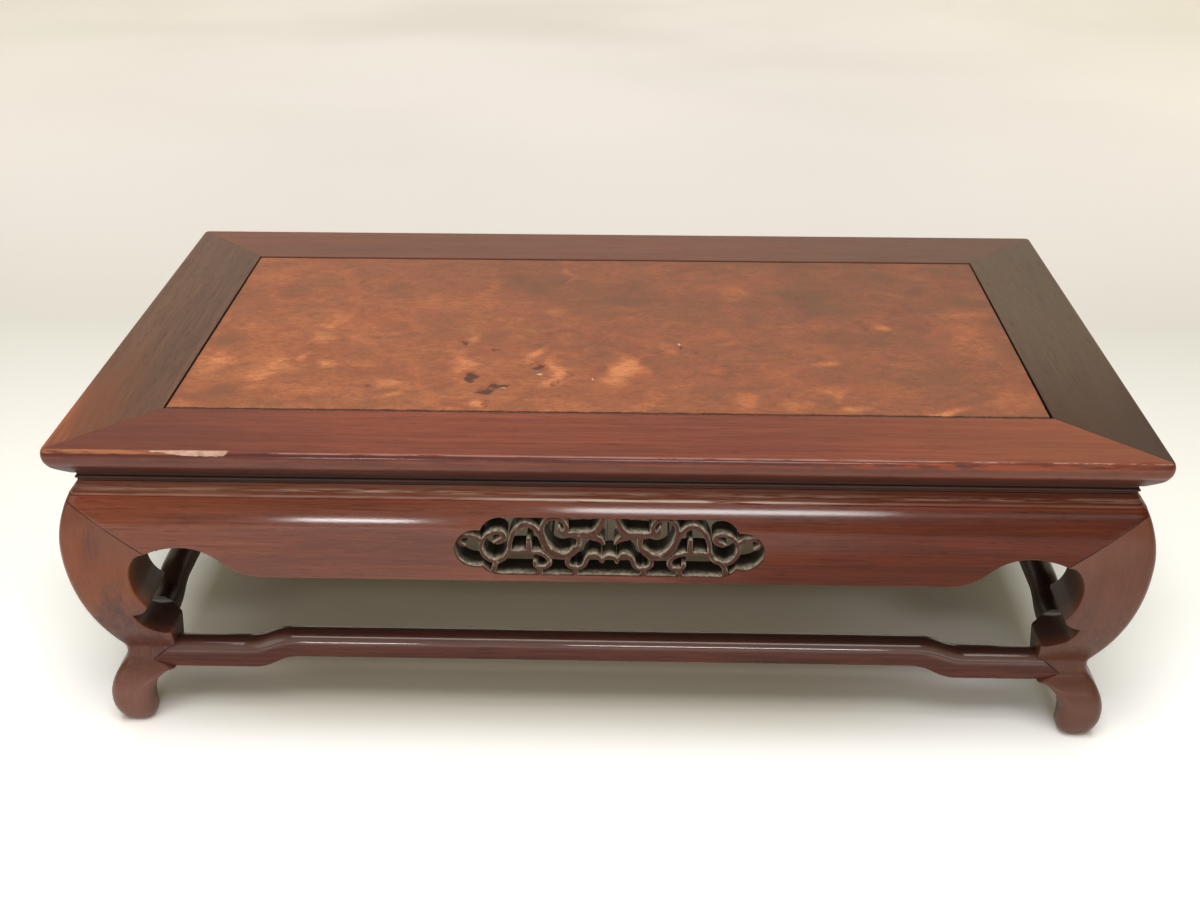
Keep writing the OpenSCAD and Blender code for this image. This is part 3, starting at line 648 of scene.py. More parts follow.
def inside_stroke(x, z, path, widths):
    """How deep points lie inside a band along a path whose width changes."""
    best = np.full(x.shape, -1e3)
    for (x1, z1), (x2, z2), w1, w2 in zip(path[:-1], path[1:], widths[:-1], widths[1:]):
        dx, dz = x2 - x1, z2 - z1
        t = np.clip(((x - x1) * dx + (z - z1) * dz) / (dx * dx + dz * dz + 1e-12), 0, 1)
        gap = np.hypot(x - x1 - t * dx, z - z1 - t * dz)
        best = np.maximum(best, (w1 + (w2 - w1) * t) / 2 - gap)
    return best


def soft_max(a, b, blend=BLEND):
    """The larger of two values, rounded where they are nearly equal."""
    h = np.clip(0.5 + 0.5 * (a - b) / blend, 0, 1)
    return b + (a - b) * h + blend * h * (1 - h)


def drawn_x(x):
    """Place in the drawing of the left half, which serves both halves."""
    return -np.abs(x) * DRAWN_HALF * 2 / carve_l


def inside_scrolls(x, z):
    """How deep points lie inside the scrollwork, in mm; negative in the gaps."""
    x, total = drawn_x(x), None
    for points in STROKES.values():
        path = smooth_path(points)
        depth = inside_stroke(x, z, path[:, :2], path[:, 2] * STROKE_SHARE)
        total = depth if total is None else soft_max(total, depth)
    return total


def inside_box(x, z, x0, x1, half_h):
    dx, dz = np.maximum(x0 - x, x - x1), np.abs(z) - half_h
    outside = np.hypot(np.maximum(dx, 0), np.maximum(dz, 0))
    return -(outside + np.minimum(np.maximum(dx, dz), 0))


def inside_window(x, z):
    """How deep points lie inside the lobed window; negative in the wood round it."""
    x, half_h = drawn_x(x), carve_h / 2
    corner_z = half_h - LOBE_R
    depth = np.maximum(inside_box(x, z, STRAIGHT_END, PAST_MIDDLE, half_h),
                       inside_box(x, z, STRAIGHT_END - LOBE_R, PAST_MIDDLE, corner_z))
    for cz in (corner_z, -corner_z):
        depth = np.maximum(depth, LOBE_R - np.hypot(x - STRAIGHT_END, z - cz))
    lobe_x, lobe_z, lobe_r = END_LOBE
    return np.maximum(depth, lobe_r - np.hypot(x - lobe_x, z - lobe_z))


at_middle = np.zeros(1)
print("depth of the window at its middle:", float(inside_window(at_middle, at_middle)[0]), "mm")

# %% [markdown]
# ## The aprons
# An apron is a board whose face is one moulding and whose outline has arches at the ends.
# Seen from the front it is a flat shape with a height at each point, so its mesh starts as a
# grid over that shape, cut along the shape's edge cell by cell. The face is then lifted to
# the moulding, with every edge rounded over, and walls join it to the flat back. The window
# and its scrolls are part of the same field, so they need no separate cutting.

# %% Cutting a grid along an outline
def cut_grid(xs, zs, inside):
    """Faces over the part of a grid where inside(x, z) > 0, with their points and rim."""
    grid_x, grid_z = np.meshgrid(xs, zs, indexing="ij")
    value, nz = inside(grid_x, grid_z).ravel(), len(zs)
    points = np.stack([grid_x.ravel(), grid_z.ravel()], 1).tolist()
    keep = (value > 0).reshape(grid_x.shape).astype(int)
    count = keep[:-1, :-1] + keep[1:, :-1] + keep[1:, 1:] + keep[:-1, 1:]
    crossings, faces, rim = {}, [], []

    def crossing(a, b):
        key = (min(a, b), max(a, b))
        if key not in crossings:
            t = value[a] / (value[a] - value[b])
            crossings[key] = len(points)
            points.append([points[a][k] + (points[b][k] - points[a][k]) * t for k in (0, 1)])
        return crossings[key]

    for i, j in np.argwhere(count == 4):
        a = i * nz + j
        faces.append((a, a + nz, a + nz + 1, a + 1))
    for i, j in np.argwhere((count > 0) & (count < 4)):
        corner = [i * nz + j, (i + 1) * nz + j, (i + 1) * nz + j + 1, i * nz + j + 1]
        face, left, entered = [], None, None
        for a, b in zip(corner, corner[1:] + corner[:1]):
            if value[a] > 0:
                face.append(a)
            if (value[a] > 0) != (value[b] > 0):
                c = crossing(a, b)
                face.append(c)
                if value[a] > 0:
                    left = c
                elif left is None:
                    entered = c
                else:
                    rim.append((left, c))
                    left = None
        if left is not None:
            rim.append((left, entered))
        faces.append(tuple(face))
    return np.array(points), faces, rim


disc = cut_grid(np.arange(-3.0, 4), np.arange(-3.0, 4), lambda x, z: 2.5 - np.hypot(x, z))
print("a disc cut from a grid of 6 x 6:", len(disc[1]), "faces,", len(disc[2]), "rim edges")


# %% Outline and face of an apron
def arch_line(u):
    """Height of arch and ogee at a distance in from the end."""
    drop, low = arch_h - spring_h, arch_h - apron_low
    r, d = arc_radius(arch_run, drop), u - leg_in - arch_run
    fall = ogee(np.clip(d, 0, ogee_run), ogee_run, low, arc_radius(ogee_run, low) / 2)
    return arch_h - np.where(d < 0, sag(r, np.minimum(-d, r - 1)), fall)


def crown(depth, r):
    """How far a rounded edge of radius r has dropped, at a depth inside the edge."""
    t = np.clip(1 - depth / r, 0, 1)
    return r * (1 - np.sqrt(1 - t * t))


def apron_edges(x, z, length):
    """Depth inside the arch's edge and inside the joint with the leg."""
    u, step = length / 2 - np.abs(x), 0.05
    slope = (arch_line(u + step) - arch_line(u - step)) / (2 * step)
    return (z - arch_line(u)) / np.hypot(1, slope), (z - mitre_h(u)) / math.hypot(1, mitre_slope)


# Roundings: the corner in plan, the arch's edge, the joint, the window's rim and the crests
CORNER_R, EDGE_R, JOINT_R, RIM_R, CREST_R = 3.2, 0.9, 0.15, 0.5, 1.3
# How far the scrolls lie behind the face, and where the window's thinned back is
SCROLL_IN, WINDOW_BACK = 0.5, 14.6
SCROLL_OVERLAP, CREST_BLEND, FAR = 1, 0.3, 99


def near_window(x, z, around=3):
    return ((np.abs(x - carve_shift) < carve_l / 2 + around)
            & (np.abs(z - carve_z) < carve_h / 2 + around))


def window_fields(x, z):
    wx, wz = x - carve_shift, z - carve_z
    return inside_window(wx, wz), inside_scrolls(wx, wz)


def apron_inside(x, z, length, carved):
    arch, joint = apron_edges(x, z, length)
    u = length / 2 - np.abs(x)
    depth = np.minimum(np.minimum(arch, joint), np.minimum(apron_top - z, u + 0.5))
    if carved:
        close = near_window(x, z)
        window, scrolls = window_fields(x[close], z[close])
        scrolls = np.minimum(scrolls, window + SCROLL_OVERLAP)
        depth[close] = np.maximum(np.minimum(depth[close], -window), scrolls)
    return depth


def apron_face(x, z, length, carved):
    """Distance in of the finished face at points seen from the front."""
    arch, joint = apron_edges(x, z, length)
    face = waist_in - face_out(z)
    t = CORNER_R - np.clip(length / 2 - np.abs(x) - face, 0, CORNER_R)
    face_in = face + sag(CORNER_R, t) + crown(arch, EDGE_R) + crown(joint, JOINT_R)
    if carved:
        close = near_window(x, z)
        window, scrolls = window_fields(x[close], z[close])
        board = np.where(window > 0.01, FAR, face_in[close] + crown(-window, RIM_R))
        band = face[close] + SCROLL_IN + crown(scrolls, CREST_R)
        band = np.where(scrolls > -0.01, band, FAR)
        face_in[close] = -soft_max(-board, -band, CREST_BLEND)
    return face_in


print("arch from", float(arch_line(leg_in)), "to", float(arch_line(leg_in + arch_run)), "mm high")


# %% Grid lines and walls of an apron
FINE = 0.31
WALL_STEPS = (0.12, 0.35, 0.65, 1)


def lines(*spans):
    """Grid lines from spans of [from, to, step]."""
    return np.unique(np.round(np.concatenate([np.arange(a, b, s) for a, b, s in spans]), 4))


def grid_lines(length, carved):
    """Close together at edges and in the window, and wide apart on plain wood."""
    half, shoulder_low = length / 2, apron_top - shoulder_h
    side = lines((-1, 8, 0.5), (8, leg_in - 1, 2), (leg_in - 1, leg_in + 3, 0.4),
                 (leg_in + 3, leg_in + arch_run + ogee_run + 2, 1.2))
    xs = np.concatenate([side - half, half - side, np.arange(-half + 96, half - 96, 4)])
    zs = lines((apron_low - 0.6, apron_low + 2, 0.4), (apron_low + 2, apron_top + 2, 0.9))
    zs = np.append(zs, [shoulder_low - 0.04, shoulder_low + 0.04])
    if carved:
        x0, z0 = carve_l / 2 + 1.5, carve_h / 2 + 1.5
        xs = xs[np.abs(xs - carve_shift) > x0]
        xs = np.append(xs, carve_shift + np.arange(-x0, x0, FINE))
        zs = zs[np.abs(zs - carve_z) > z0]
        zs = np.append(zs, carve_z + np.arange(-z0, z0, FINE))
    return np.unique(np.round(xs, 3)), np.unique(np.round(zs, 3))


def add_walls(points, faces, rim, carved):
    """Walls from the rim to the back, in a few steps."""
    cut = sorted({p for edge in rim for p in edge})
    order = {p: k for k, p in enumerate(cut)}
    rows = [np.array(cut)]
    for share in WALL_STEPS:
        row = points[cut].copy()
        thinned = near_window(row[:, 0], row[:, 2]) & carved
        row[:, 1] += (np.where(thinned, WINDOW_BACK, waist_back) - row[:, 1]) * share
        rows.append(np.arange(len(points), len(points) + len(cut)))
        points = np.concatenate([points, row])
    for upper, lower in zip(rows[:-1], rows[1:]):
        for a, b in rim:
            faces.append((upper[order[b]], upper[order[a]], lower[order[a]], lower[order[b]]))
    return points


print("grid lines of the front apron:", [len(part) for part in grid_lines(top_l, True)])


# %% Apron mesh
def apron_mesh(length, carved):
    xs, zs = grid_lines(length, carved)
    flat, faces, rim = cut_grid(xs, zs, lambda x, z: apron_inside(x, z, length, carved))
    x, z = flat.T
    points = np.stack([x, apron_face(x, z, length, carved), z], 1)
    points = add_walls(points, faces, rim, carved)
    shape = bmesh.new()
    verts = [shape.verts.new(p) for p in points]
    used = set()
    for face in faces:
        shape.faces.new([verts[k] for k in face])
        used.update(face)
    bmesh.ops.delete(shape, geom=[v for k, v in enumerate(verts) if k not in used])
    shape.edges.ensure_lookup_table()
    back = [e for e in shape.edges if e.is_boundary]
    bmesh.ops.triangle_fill(shape, edges=back, use_beauty=True, normal=(0, 1, 0))
    # The ends are cut at 45 degrees
    for end in (-1, 1):
        cut = bmesh.ops.bisect_plane(
            shape, geom=shape.verts[:] + shape.edges[:] + shape.faces[:],
            plane_co=(end * length / 2, 0, 0), plane_no=(end, 1, 0), clear_outer=True, dist=1e-5)
        edges = [g for g in cut["geom_cut"] if isinstance(g, bmesh.types.BMEdge)]
        bmesh.ops.triangle_fill(shape, edges=edges, use_beauty=True, normal=(end, 1, 0))
    mesh = bpy.data.meshes.new("apron")
    shape.to_mesh(mesh)
    open_edges = sum(len(e.link_faces) != 2 for e in shape.edges)
    shape.free()
    count = sum(len(face.vertices) - 2 for face in mesh.polygons)
    print("apron:", count, "triangles, open edges:", open_edges)
    return mesh


def mark_dust(mesh, carved):
    """Stores how deep each point lies in the carving, from 0 on the crests to 1 at 10 mm."""
    x, y, z = points_of(mesh).T
    deep = y - (waist_in - face_out(z))
    dust = np.clip((deep - SCROLL_IN - 0.15) / 10, 0, 1)
    inside = inside_window(x - carve_shift, z - carve_z) if carved else np.full(len(x), -FAR)
    near = np.clip(1 + (inside + 1.2) / 0.4, 0, 1)
    store(mesh, "dust", dust * near)
    store(mesh, "window", np.clip(1 + inside / 0.6, 0, 1))


for side, other in OPPOSITE.items():
    board = apron_mesh(LENGTHS[side], side == "front")
    mark_dust(board, side == "front")
    for place in (side, other):
        mesh = finish_mesh(to_side(board.copy(), place), 42)
        add_piece(place + "_apron_carved", mesh, place + "_apron")

# %% [markdown]
# ## The legs
# A leg is a loft up its whole height. At each height its section is a rounded square between
# the face, which continues the apron's moulding, and the inner outline with scallop, cusp,
# notch and scroll block. The outer corner is rounded more than the inner edges. The apron's
# seat and the stretchers' points are then cut from it.

# %% Inner outline of a leg
leg_w, scallop_w, scallop_h, cusp_w, cusp_h = 29.4, 19.9, 89, 24.9, 72.5
notch_w, notch_h, block_w, block_h, block_flat = 17, 66.4, 33.4, 53.4, 2.1
seat_w, foot_w, heel_w, heel_h = 30, 17.4, 4.2, 6.5
stretcher_high = stretcher_low + stretcher_end_h
OUTLINE_STEP = 0.9


def lean_w(h):
    return seat_w + (block_w - seat_w) * (h - stretcher_low) / (block_h - stretcher_low)


def inner_outline():
    """Width and height of the leg's inner side, from the floor up, in small steps."""
    turn = np.radians(np.arange(0, 91, 7.5))
    late_turn = np.radians(np.arange(15, 91, 7.5))
    points = [(foot_w - heel_w * (1 - math.sin(a)), heel_h * (1 - math.cos(a))) for a in turn]
    # The hollow from the foot to the stretcher, and the scroll block with its blunt corner
    hollow = arc_radius(stretcher_low - foot_h, seat_w - foot_w)
    rise = math.asin((stretcher_low - foot_h) / hollow)
    points += [(foot_w + hollow * (1 - math.cos(a)), foot_h + hollow * math.sin(a))
               for a in np.linspace(0, rise, 12)]
    points += [(block_w - 1.2, block_h - 1.0), (block_w - 1.7, block_h - 0.2),
               (block_w - block_flat, block_h)]
    # The notch, the cusp over it and the scallop up to the spring of the arch
    scoop = block_w - block_flat - notch_w
    points += [(notch_w + scoop * (1 - math.cos(a)), notch_h - (notch_h - block_h) * math.sin(a))
               for a in turn[-2::-1]]
    points += [(notch_w + (cusp_w - notch_w) * math.sin(a), cusp_h - (cusp_h - notch_h) * math.cos(a))
               for a in late_turn]
    hollow = arc_radius(cusp_h - scallop_h, cusp_w - scallop_w)
    points += [(scallop_w + sag(hollow, scallop_h - h), h)
               for h in np.linspace(cusp_h + 0.3, scallop_h, 12)]
    points += [(leg_w - (leg_w - scallop_w) * math.cos(a),
                scallop_h + (spring_h - scallop_h) * math.sin(a)) for a in turn[1:]]
    points += [(leg_w, apron_top)]
    out = [np.array(points[0], float)]
    for p in points[1:]:
        p = np.array(p, float)
        parts = max(1, int(np.linalg.norm(p - out[-1]) / OUTLINE_STEP))
        out += [out[-1] + (p - out[-1]) * k / parts for k in range(1, parts + 1)]
    return out


print("inner outline of a leg:", len(inner_outline()), "points")

# %% Leg loft
# Widest part of the square section across its corners, and roundings at the top and the foot
leg_diagonal, foot_corner_r, leg_edge_r, foot_edge_r, most_share = 52, 6, 1.2, 6, 0.45


def corner_arc(x, y, r, start, steps=6):
    turn = np.radians(start + np.linspace(0, 90, steps + 1))
    return np.stack([x + r * np.cos(turn), y + r * np.sin(turn)], 1)


def leg_ring(w, h):
    """Section of the leg at height h: a rounded square with its inner corner cut off."""
    out, inner = waist_in - float(face_out(h)), waist_in + w
    foot = float(np.clip((ankle_h - h) / (ankle_h - foot_h), 0, 1))
    most = (inner - out) * most_share
    outer_r = min(CORNER_R + (foot_corner_r - CORNER_R) * foot, most)
    edge_r = min(leg_edge_r + (foot_edge_r - leg_edge_r) * foot, most)
    cut = max(edge_r + foot * (most - edge_r) * 0.9, 2 * w - leg_diagonal)
    flat = min(max((cut - edge_r) / 5, 0), 1)
    arc = corner_arc(inner - cut, inner - cut, cut, 0)
    chord = np.linspace(arc[0], arc[-1], len(arc))
    arcs = [
        corner_arc(out + outer_r, out + outer_r, outer_r, 180),
        corner_arc(inner - edge_r, out + edge_r, edge_r, 270),
        arc + (chord - arc) * flat,
        corner_arc(out + edge_r, inner - edge_r, edge_r, 90),
    ]
    ring = []
    for p, q in zip(arcs, arcs[1:] + arcs[:1]):
        ring += [p, np.linspace(p[-1], q[0], 6)[1:-1]]
    ring = np.concatenate(ring)
    return np.column_stack([ring, np.full(len(ring), h)])


def leg_loft():
    return loft([leg_ring(w, h)[::-1] for w, h in inner_outline() if 0 <= h <= apron_top])


print("points round a leg:", len(leg_ring(seat_w, stretcher_low)))

# %% Joining and cutting solids
def combine(mesh, others, operation):
    """Adds, cuts or keeps what is shared with other meshes, and gives a new mesh."""
    for other in others:
        body, tool = new_object("body", mesh), new_object("tool", other)
        step = body.modifiers.new("step", "BOOLEAN")
        step.operation, step.object, step.solver = operation, tool, "EXACT"
        shape = body.evaluated_get(bpy.context.evaluated_depsgraph_get())
        mesh = bpy.data.meshes.new_from_object(shape)
        bpy.data.objects.remove(body)
        bpy.data.objects.remove(tool)
    return mesh


def prism(outline, y0, y1, turned=False):
    """A solid whose outline is drawn in x and z; turned swaps it to the adjoining side."""
    rings = [np.array([(x, y, z) for x, z in outline]) for y in (y0, y1)]
    if turned:
        rings = [ring[:, [1, 0, 2]] for ring in rings]
    return finish_mesh(loft(rings))


POINT_UP, POINT_REACH = 4.1, 11


def point_outline(grow=0.0):
    """Pointed shoulder of a stretcher at its left end, in x and z."""
    tip_h = stretcher_low + POINT_UP
    tip = np.array([waist_in + lean_w(tip_h) - POINT_REACH - grow, tip_h])
    over = np.array([waist_in + lean_w(stretcher_high), stretcher_high]) - tip
    under = np.array([waist_in + seat_w, stretcher_low]) - tip
    high, low = tip + over * (1 + 1 / over[1]), tip + under * (1 - 1 / under[1])
    far = waist_in + block_w + 2
    return [tip, low, (far, low[1]), (far, high[1]), high]


print("point of a stretcher:", [round(float(at), 1) for at in point_outline()[0]])


# %% Leg mesh
# Depth of the stretchers' points, width of the open joints, and how low the post starts
POINT_BACK, CRACK, POST_START = stretcher_in + 4, 0.12, 8
# The post stands a hair off the cut faces, so that no two faces lie in one plane
HAIR = CRACK / 6
TOUCH = 1e-3


def close_slits(mesh):
    """Puts a point into an open edge that runs past it, so that the faces on both sides meet."""
    shape = bmesh.new()
    shape.from_mesh(mesh)
    slits = [edge for edge in shape.edges if len(edge.link_faces) == 1]
    points = {point for edge in slits for point in edge.verts}
    for edge in slits:
        start, end = edge.verts
        run = end.co - start.co
        for point in points - {start, end}:
            share = (point.co - start.co).dot(run) / run.length_squared
            if 0 < share < 1 and (start.co + run * share - point.co).length < TOUCH:
                bmesh.utils.edge_split(edge, start, share)
                break
    bmesh.ops.remove_doubles(shape, verts=shape.verts, dist=TOUCH)
    shape.to_mesh(mesh)
    shape.free()
    return mesh


def leg_mesh():
    near, far = waist_back + HAIR, leg_in + HAIR
    low = spring_h - POST_START
    post = [(near, low), (far, low), (far, frame_low), (near, frame_low)]
    tools = []
    for turned in (False, True):
        room = [(-1, mitre_h(-1) - CRACK), (leg_in + 1, mitre_h(leg_in + 1) - CRACK),
                (leg_in + 1, top_h), (-1, top_h)]
        tools.append(prism(room, -1, waist_back, turned))
        tools.append(prism(point_outline(CRACK), -1, POINT_BACK, turned))
    leg = combine(finish_mesh(leg_loft()), tools, "DIFFERENCE")
    return close_slits(combine(leg, [prism(post, near, far)], "UNION"))


leg = leg_mesh()
for sy, depth in ((-1, "front"), (1, "back")):
    for sx, hand in ((-1, "left"), (1, "right")):
        mesh = leg.copy()
        x, y, z = points_of(mesh).T
        move_points(mesh, np.stack([sx * (top_l / 2 - x), sy * (top_w / 2 - y), z], 1) * MM)
        store(mesh, "inner", np.clip((np.minimum(x, y) - waist_in + face_out(z) - 1) / 9, 0, 1))
        corner = f"{depth}_{hand}_leg"
        add_piece(corner + "_shaped", finish_mesh(mesh, 38), corner)
print("leg:", len(leg.vertices), "points")

# %% [markdown]
# ## The stretchers
# A stretcher is one rounded section along a path that steps up near each leg, so Geometry
# Nodes makes it: a line, a filleted rectangle swept along it, and a rule that lifts and thins
# the bar along the hump. Its sizes are the tree's named inputs.

# %% A humped bar as Geometry Nodes
bar_tree = bpy.data.node_groups.new("humped_bar", "GeometryNodeTree")
BAR_INPUTS = {"Length": 500.0, "Start": 30.0, "Hump start": 80.0, "Hump run": hump_run,
              "Rise": hump_rise, "Lead": 3.5, "Low": stretcher_low, "End height": stretcher_end_h,
              "Middle height": stretcher_mid_h, "Depth": stretcher_t, "Set in": stretcher_in,
              "Edge radius": 6.4, "Under radius": 1.2}
for label, value in BAR_INPUTS.items():
    socket = bar_tree.interface.new_socket(label, in_out="INPUT", socket_type="NodeSocketFloat")
    socket.default_value = value
bar_tree.interface.new_socket("Wood", in_out="INPUT", socket_type="NodeSocketMaterial")
bar_tree.interface.new_socket("Bar", in_out="OUTPUT", socket_type="NodeSocketGeometry")


def build_bar_tree(tree):
    """A line, a rounded rectangle swept along it, and a rule that lifts it to the hump."""
    given = put(tree, "NodeGroupInput")
    size = {label: Number(tree, given.outputs[label]) for label in BAR_INPUTS}

    def place():
        spot = put(tree, "GeometryNodeInputPosition").outputs[0]
        spread = put(tree, "ShaderNodeSeparateXYZ", None, {0: spot})
        return [Number(tree, output) for output in spread.outputs]

    def point(x, y=0.0, z=0.0):
        return put(tree, "ShaderNodeCombineXYZ", None, {0: x, 1: y, 2: z}).outputs[0]

    def step(kind, settings=None, **sockets):
        sockets = {key.replace("_", " "): value for key, value in sockets.items()}
        return put(tree, kind, settings, sockets).outputs[0]

    reach = size["Length"] / 2 - size["Start"]
    path = step("GeometryNodeCurvePrimitiveLine", Start=point(reach * -1.0), End=point(reach))
    path = step("GeometryNodeResampleCurve", Curve=path, Count=260)
    section = step("GeometryNodeCurvePrimitiveQuadrilateral",
                   Width=size["Depth"], Height=size["End height"])
    # Swept, the section stands upside down: its low half becomes the bar's upper half
    upper = (place()[1] * -1e3).at_least(0).at_most(1)
    radius = size["Under radius"] + (size["Edge radius"] - size["Under radius"]) * upper
    section = step("GeometryNodeFilletCurve", {"mode": "POLY"}, Curve=section, Radius=radius, Count=6)
    bar = step("GeometryNodeCurveToMesh", Curve=path, Profile_Curve=section, Fill_Caps=True)
    x, y, z = place()

    def lift(start):
        """0 at the leg, 1 on the raised part, and a smooth step between."""
        along = ((size["Length"] / 2 - abs(x) - start) / size["Hump run"]).at_least(0).at_most(1)
        past_middle = (along * 2 - 1).at_least(0)
        return along * along * 2 - past_middle * past_middle

    under = size["Low"] + size["Rise"] * lift(size["Hump start"])
    change = size["Rise"] + size["Middle height"] - size["End height"]
    over = size["Low"] + size["End height"] + change * lift(size["Hump start"] - size["Lead"])
    new_z = under + (z / size["End height"] + 0.5) * (over - under)
    moved = point(x, y + size["Set in"] + size["Depth"] / 2, new_z)
    bar = step("GeometryNodeSetPosition", Geometry=bar, Position=moved)
    bar = step("GeometryNodeRealizeInstances", Geometry=bar)
    bar = step("GeometryNodeSetMaterial", Geometry=bar, Material=given.outputs["Wood"])
    put(tree, "NodeGroupOutput", None, {"Bar": bar})


build_bar_tree(bar_tree)
print("humped bar:", len(bar_tree.nodes), "nodes")


# %% Stretchers
HUMP_IN_LONG, HUMP_IN_END = 79.5, 66.5
CLEAR = 1


def grow_bar(**sizes):
    """Runs the tree with these sizes and gives the plain mesh."""
    host = new_object("bar", bpy.data.meshes.new("bar"))
    step = host.modifiers.new("bar", "NODES")
    step.node_group = bar_tree
    for item in bar_tree.interface.items_tree:
        key = item.name.replace(" ", "_").lower()
        if item.in_out == "INPUT" and key in sizes:
            step[item.identifier] = float(sizes[key])
    shape = host.evaluated_get(bpy.context.evaluated_depsgraph_get())
    mesh = bpy.data.meshes.new_from_object(shape)
    bpy.data.objects.remove(host)
    return mesh


def stretcher_mesh(length, hump_start):
    """The bar with its pointed shoulders, which lie in the legs' faces."""
    house_in, clear_in = waist_in + seat_w - CLEAR, waist_in + block_w + CLEAR
    tip, low, _, _, high = point_outline()
    bar = finish_mesh(grow_bar(length=length, start=tip[0], hump_start=hump_start))
    behind = [(-1, 0), (house_in, 0), (house_in, top_h), (-1, top_h)]
    under = [(-1, 0), (clear_in, 0), (clear_in, low[1]), low, tip, (-1, tip[1])]
    over = [(-1, tip[1]), tip, high, (clear_in, high[1]), (clear_in, top_h), (-1, top_h)]
    tools = []
    for end in (1, -1):
        parts = [prism(behind, POINT_BACK, 40), prism(under, -1, POINT_BACK), prism(over, -1, POINT_BACK)]
        for mesh in parts:
            x, y, z = points_of(mesh).T
            move_points(mesh, np.stack([end * (x - length / 2), y, z], 1))
            finish_mesh(mesh)
        tools += parts
    return combine(bar, tools, "DIFFERENCE")


for side, start in (("front", HUMP_IN_LONG), ("left", HUMP_IN_END)):
    bar = stretcher_mesh(LENGTHS[side], start)
    for place in (side, OPPOSITE[side]):
        mesh = finish_mesh(to_side(bar.copy(), place), 38)
        add_piece(place + "_stretcher_humped", mesh, place + "_stretcher")
    print(side, "stretcher:", len(bar.vertices), "points")

# %% [markdown]
# ## Wear and grime follow the shape
# Edges that hands touch wear to a lighter, warmer colour, and inner corners hold wax and
# grime. Both follow from how the surface bends, so each point of a piece stores its bend,
# from -1 in a sharp hollow to 1 on a sharp edge, and every material reads it.

# %% Bend of the surface
MITRE_BEND, LOW_BEND_MIN, LOW_BEND_MAX, LOW_PART = -0.3, -0.1, 0.4, 50


def bend_of(mesh, radius=1.2):
    """How sharply the surface bends at each point; 1 is a rounding of this radius."""
    points = points_of(mesh) / MM
    normals = np.array([v.normal for v in mesh.vertices])
    a, b = np.array([e.vertices[:] for e in mesh.edges]).T
    step = points[b] - points[a]
    curve = ((normals[b] - normals[a]) * step).sum(1) / np.maximum((step * step).sum(1), 0.01)
    total, count = np.zeros(len(points)), np.zeros(len(points))
    for end in (a, b):
        np.add.at(total, end, curve)
        np.add.at(count, end, 1)
    return points, np.clip(total / np.maximum(count, 1) * radius * 2, -1, 1)


def at_mitre(points):
    """Marks the points on the 45 degree joints between rails, strips and aprons."""
    x, y, z = points.T
    return np.abs(top_l / 2 - np.abs(x) - top_w / 2 + np.abs(y)) < 0.2


for piece in pieces_made:
    points, bend = bend_of(piece.data)
    if any(part in piece.name for part in ("rail", "waist", "apron")):
        bend[at_mitre(points)] = MITRE_BEND
    if "apron" in piece.name or "leg" in piece.name:
        step = np.abs(points[:, 2] - apron_top + shoulder_h) < 0.5
        bend[step] = np.maximum(bend[step], 0)
    if "leg" in piece.name or "stretcher" in piece.name:
        low = points[:, 2] < LOW_PART
        bend[low] = np.clip(bend[low], LOW_BEND_MIN, LOW_BEND_MAX)
    store(piece.data, "bend", bend)
    print(piece.name, "edge points:", int((bend > 0.5).sum()), "of", len(bend))

# %% [markdown]
# ## The woods
# All the woods share one recipe: a slow change of tone, bands of growth that follow the grain,
# fine dark pores, worn edges and grime in the hollows. Grain runs along each piece, so the
# recipe takes a direction. A finish holds the colour it has so far, and every pattern lays a
# tone over it, as a polisher works: first the wood, then its wear, and the grime at the end.

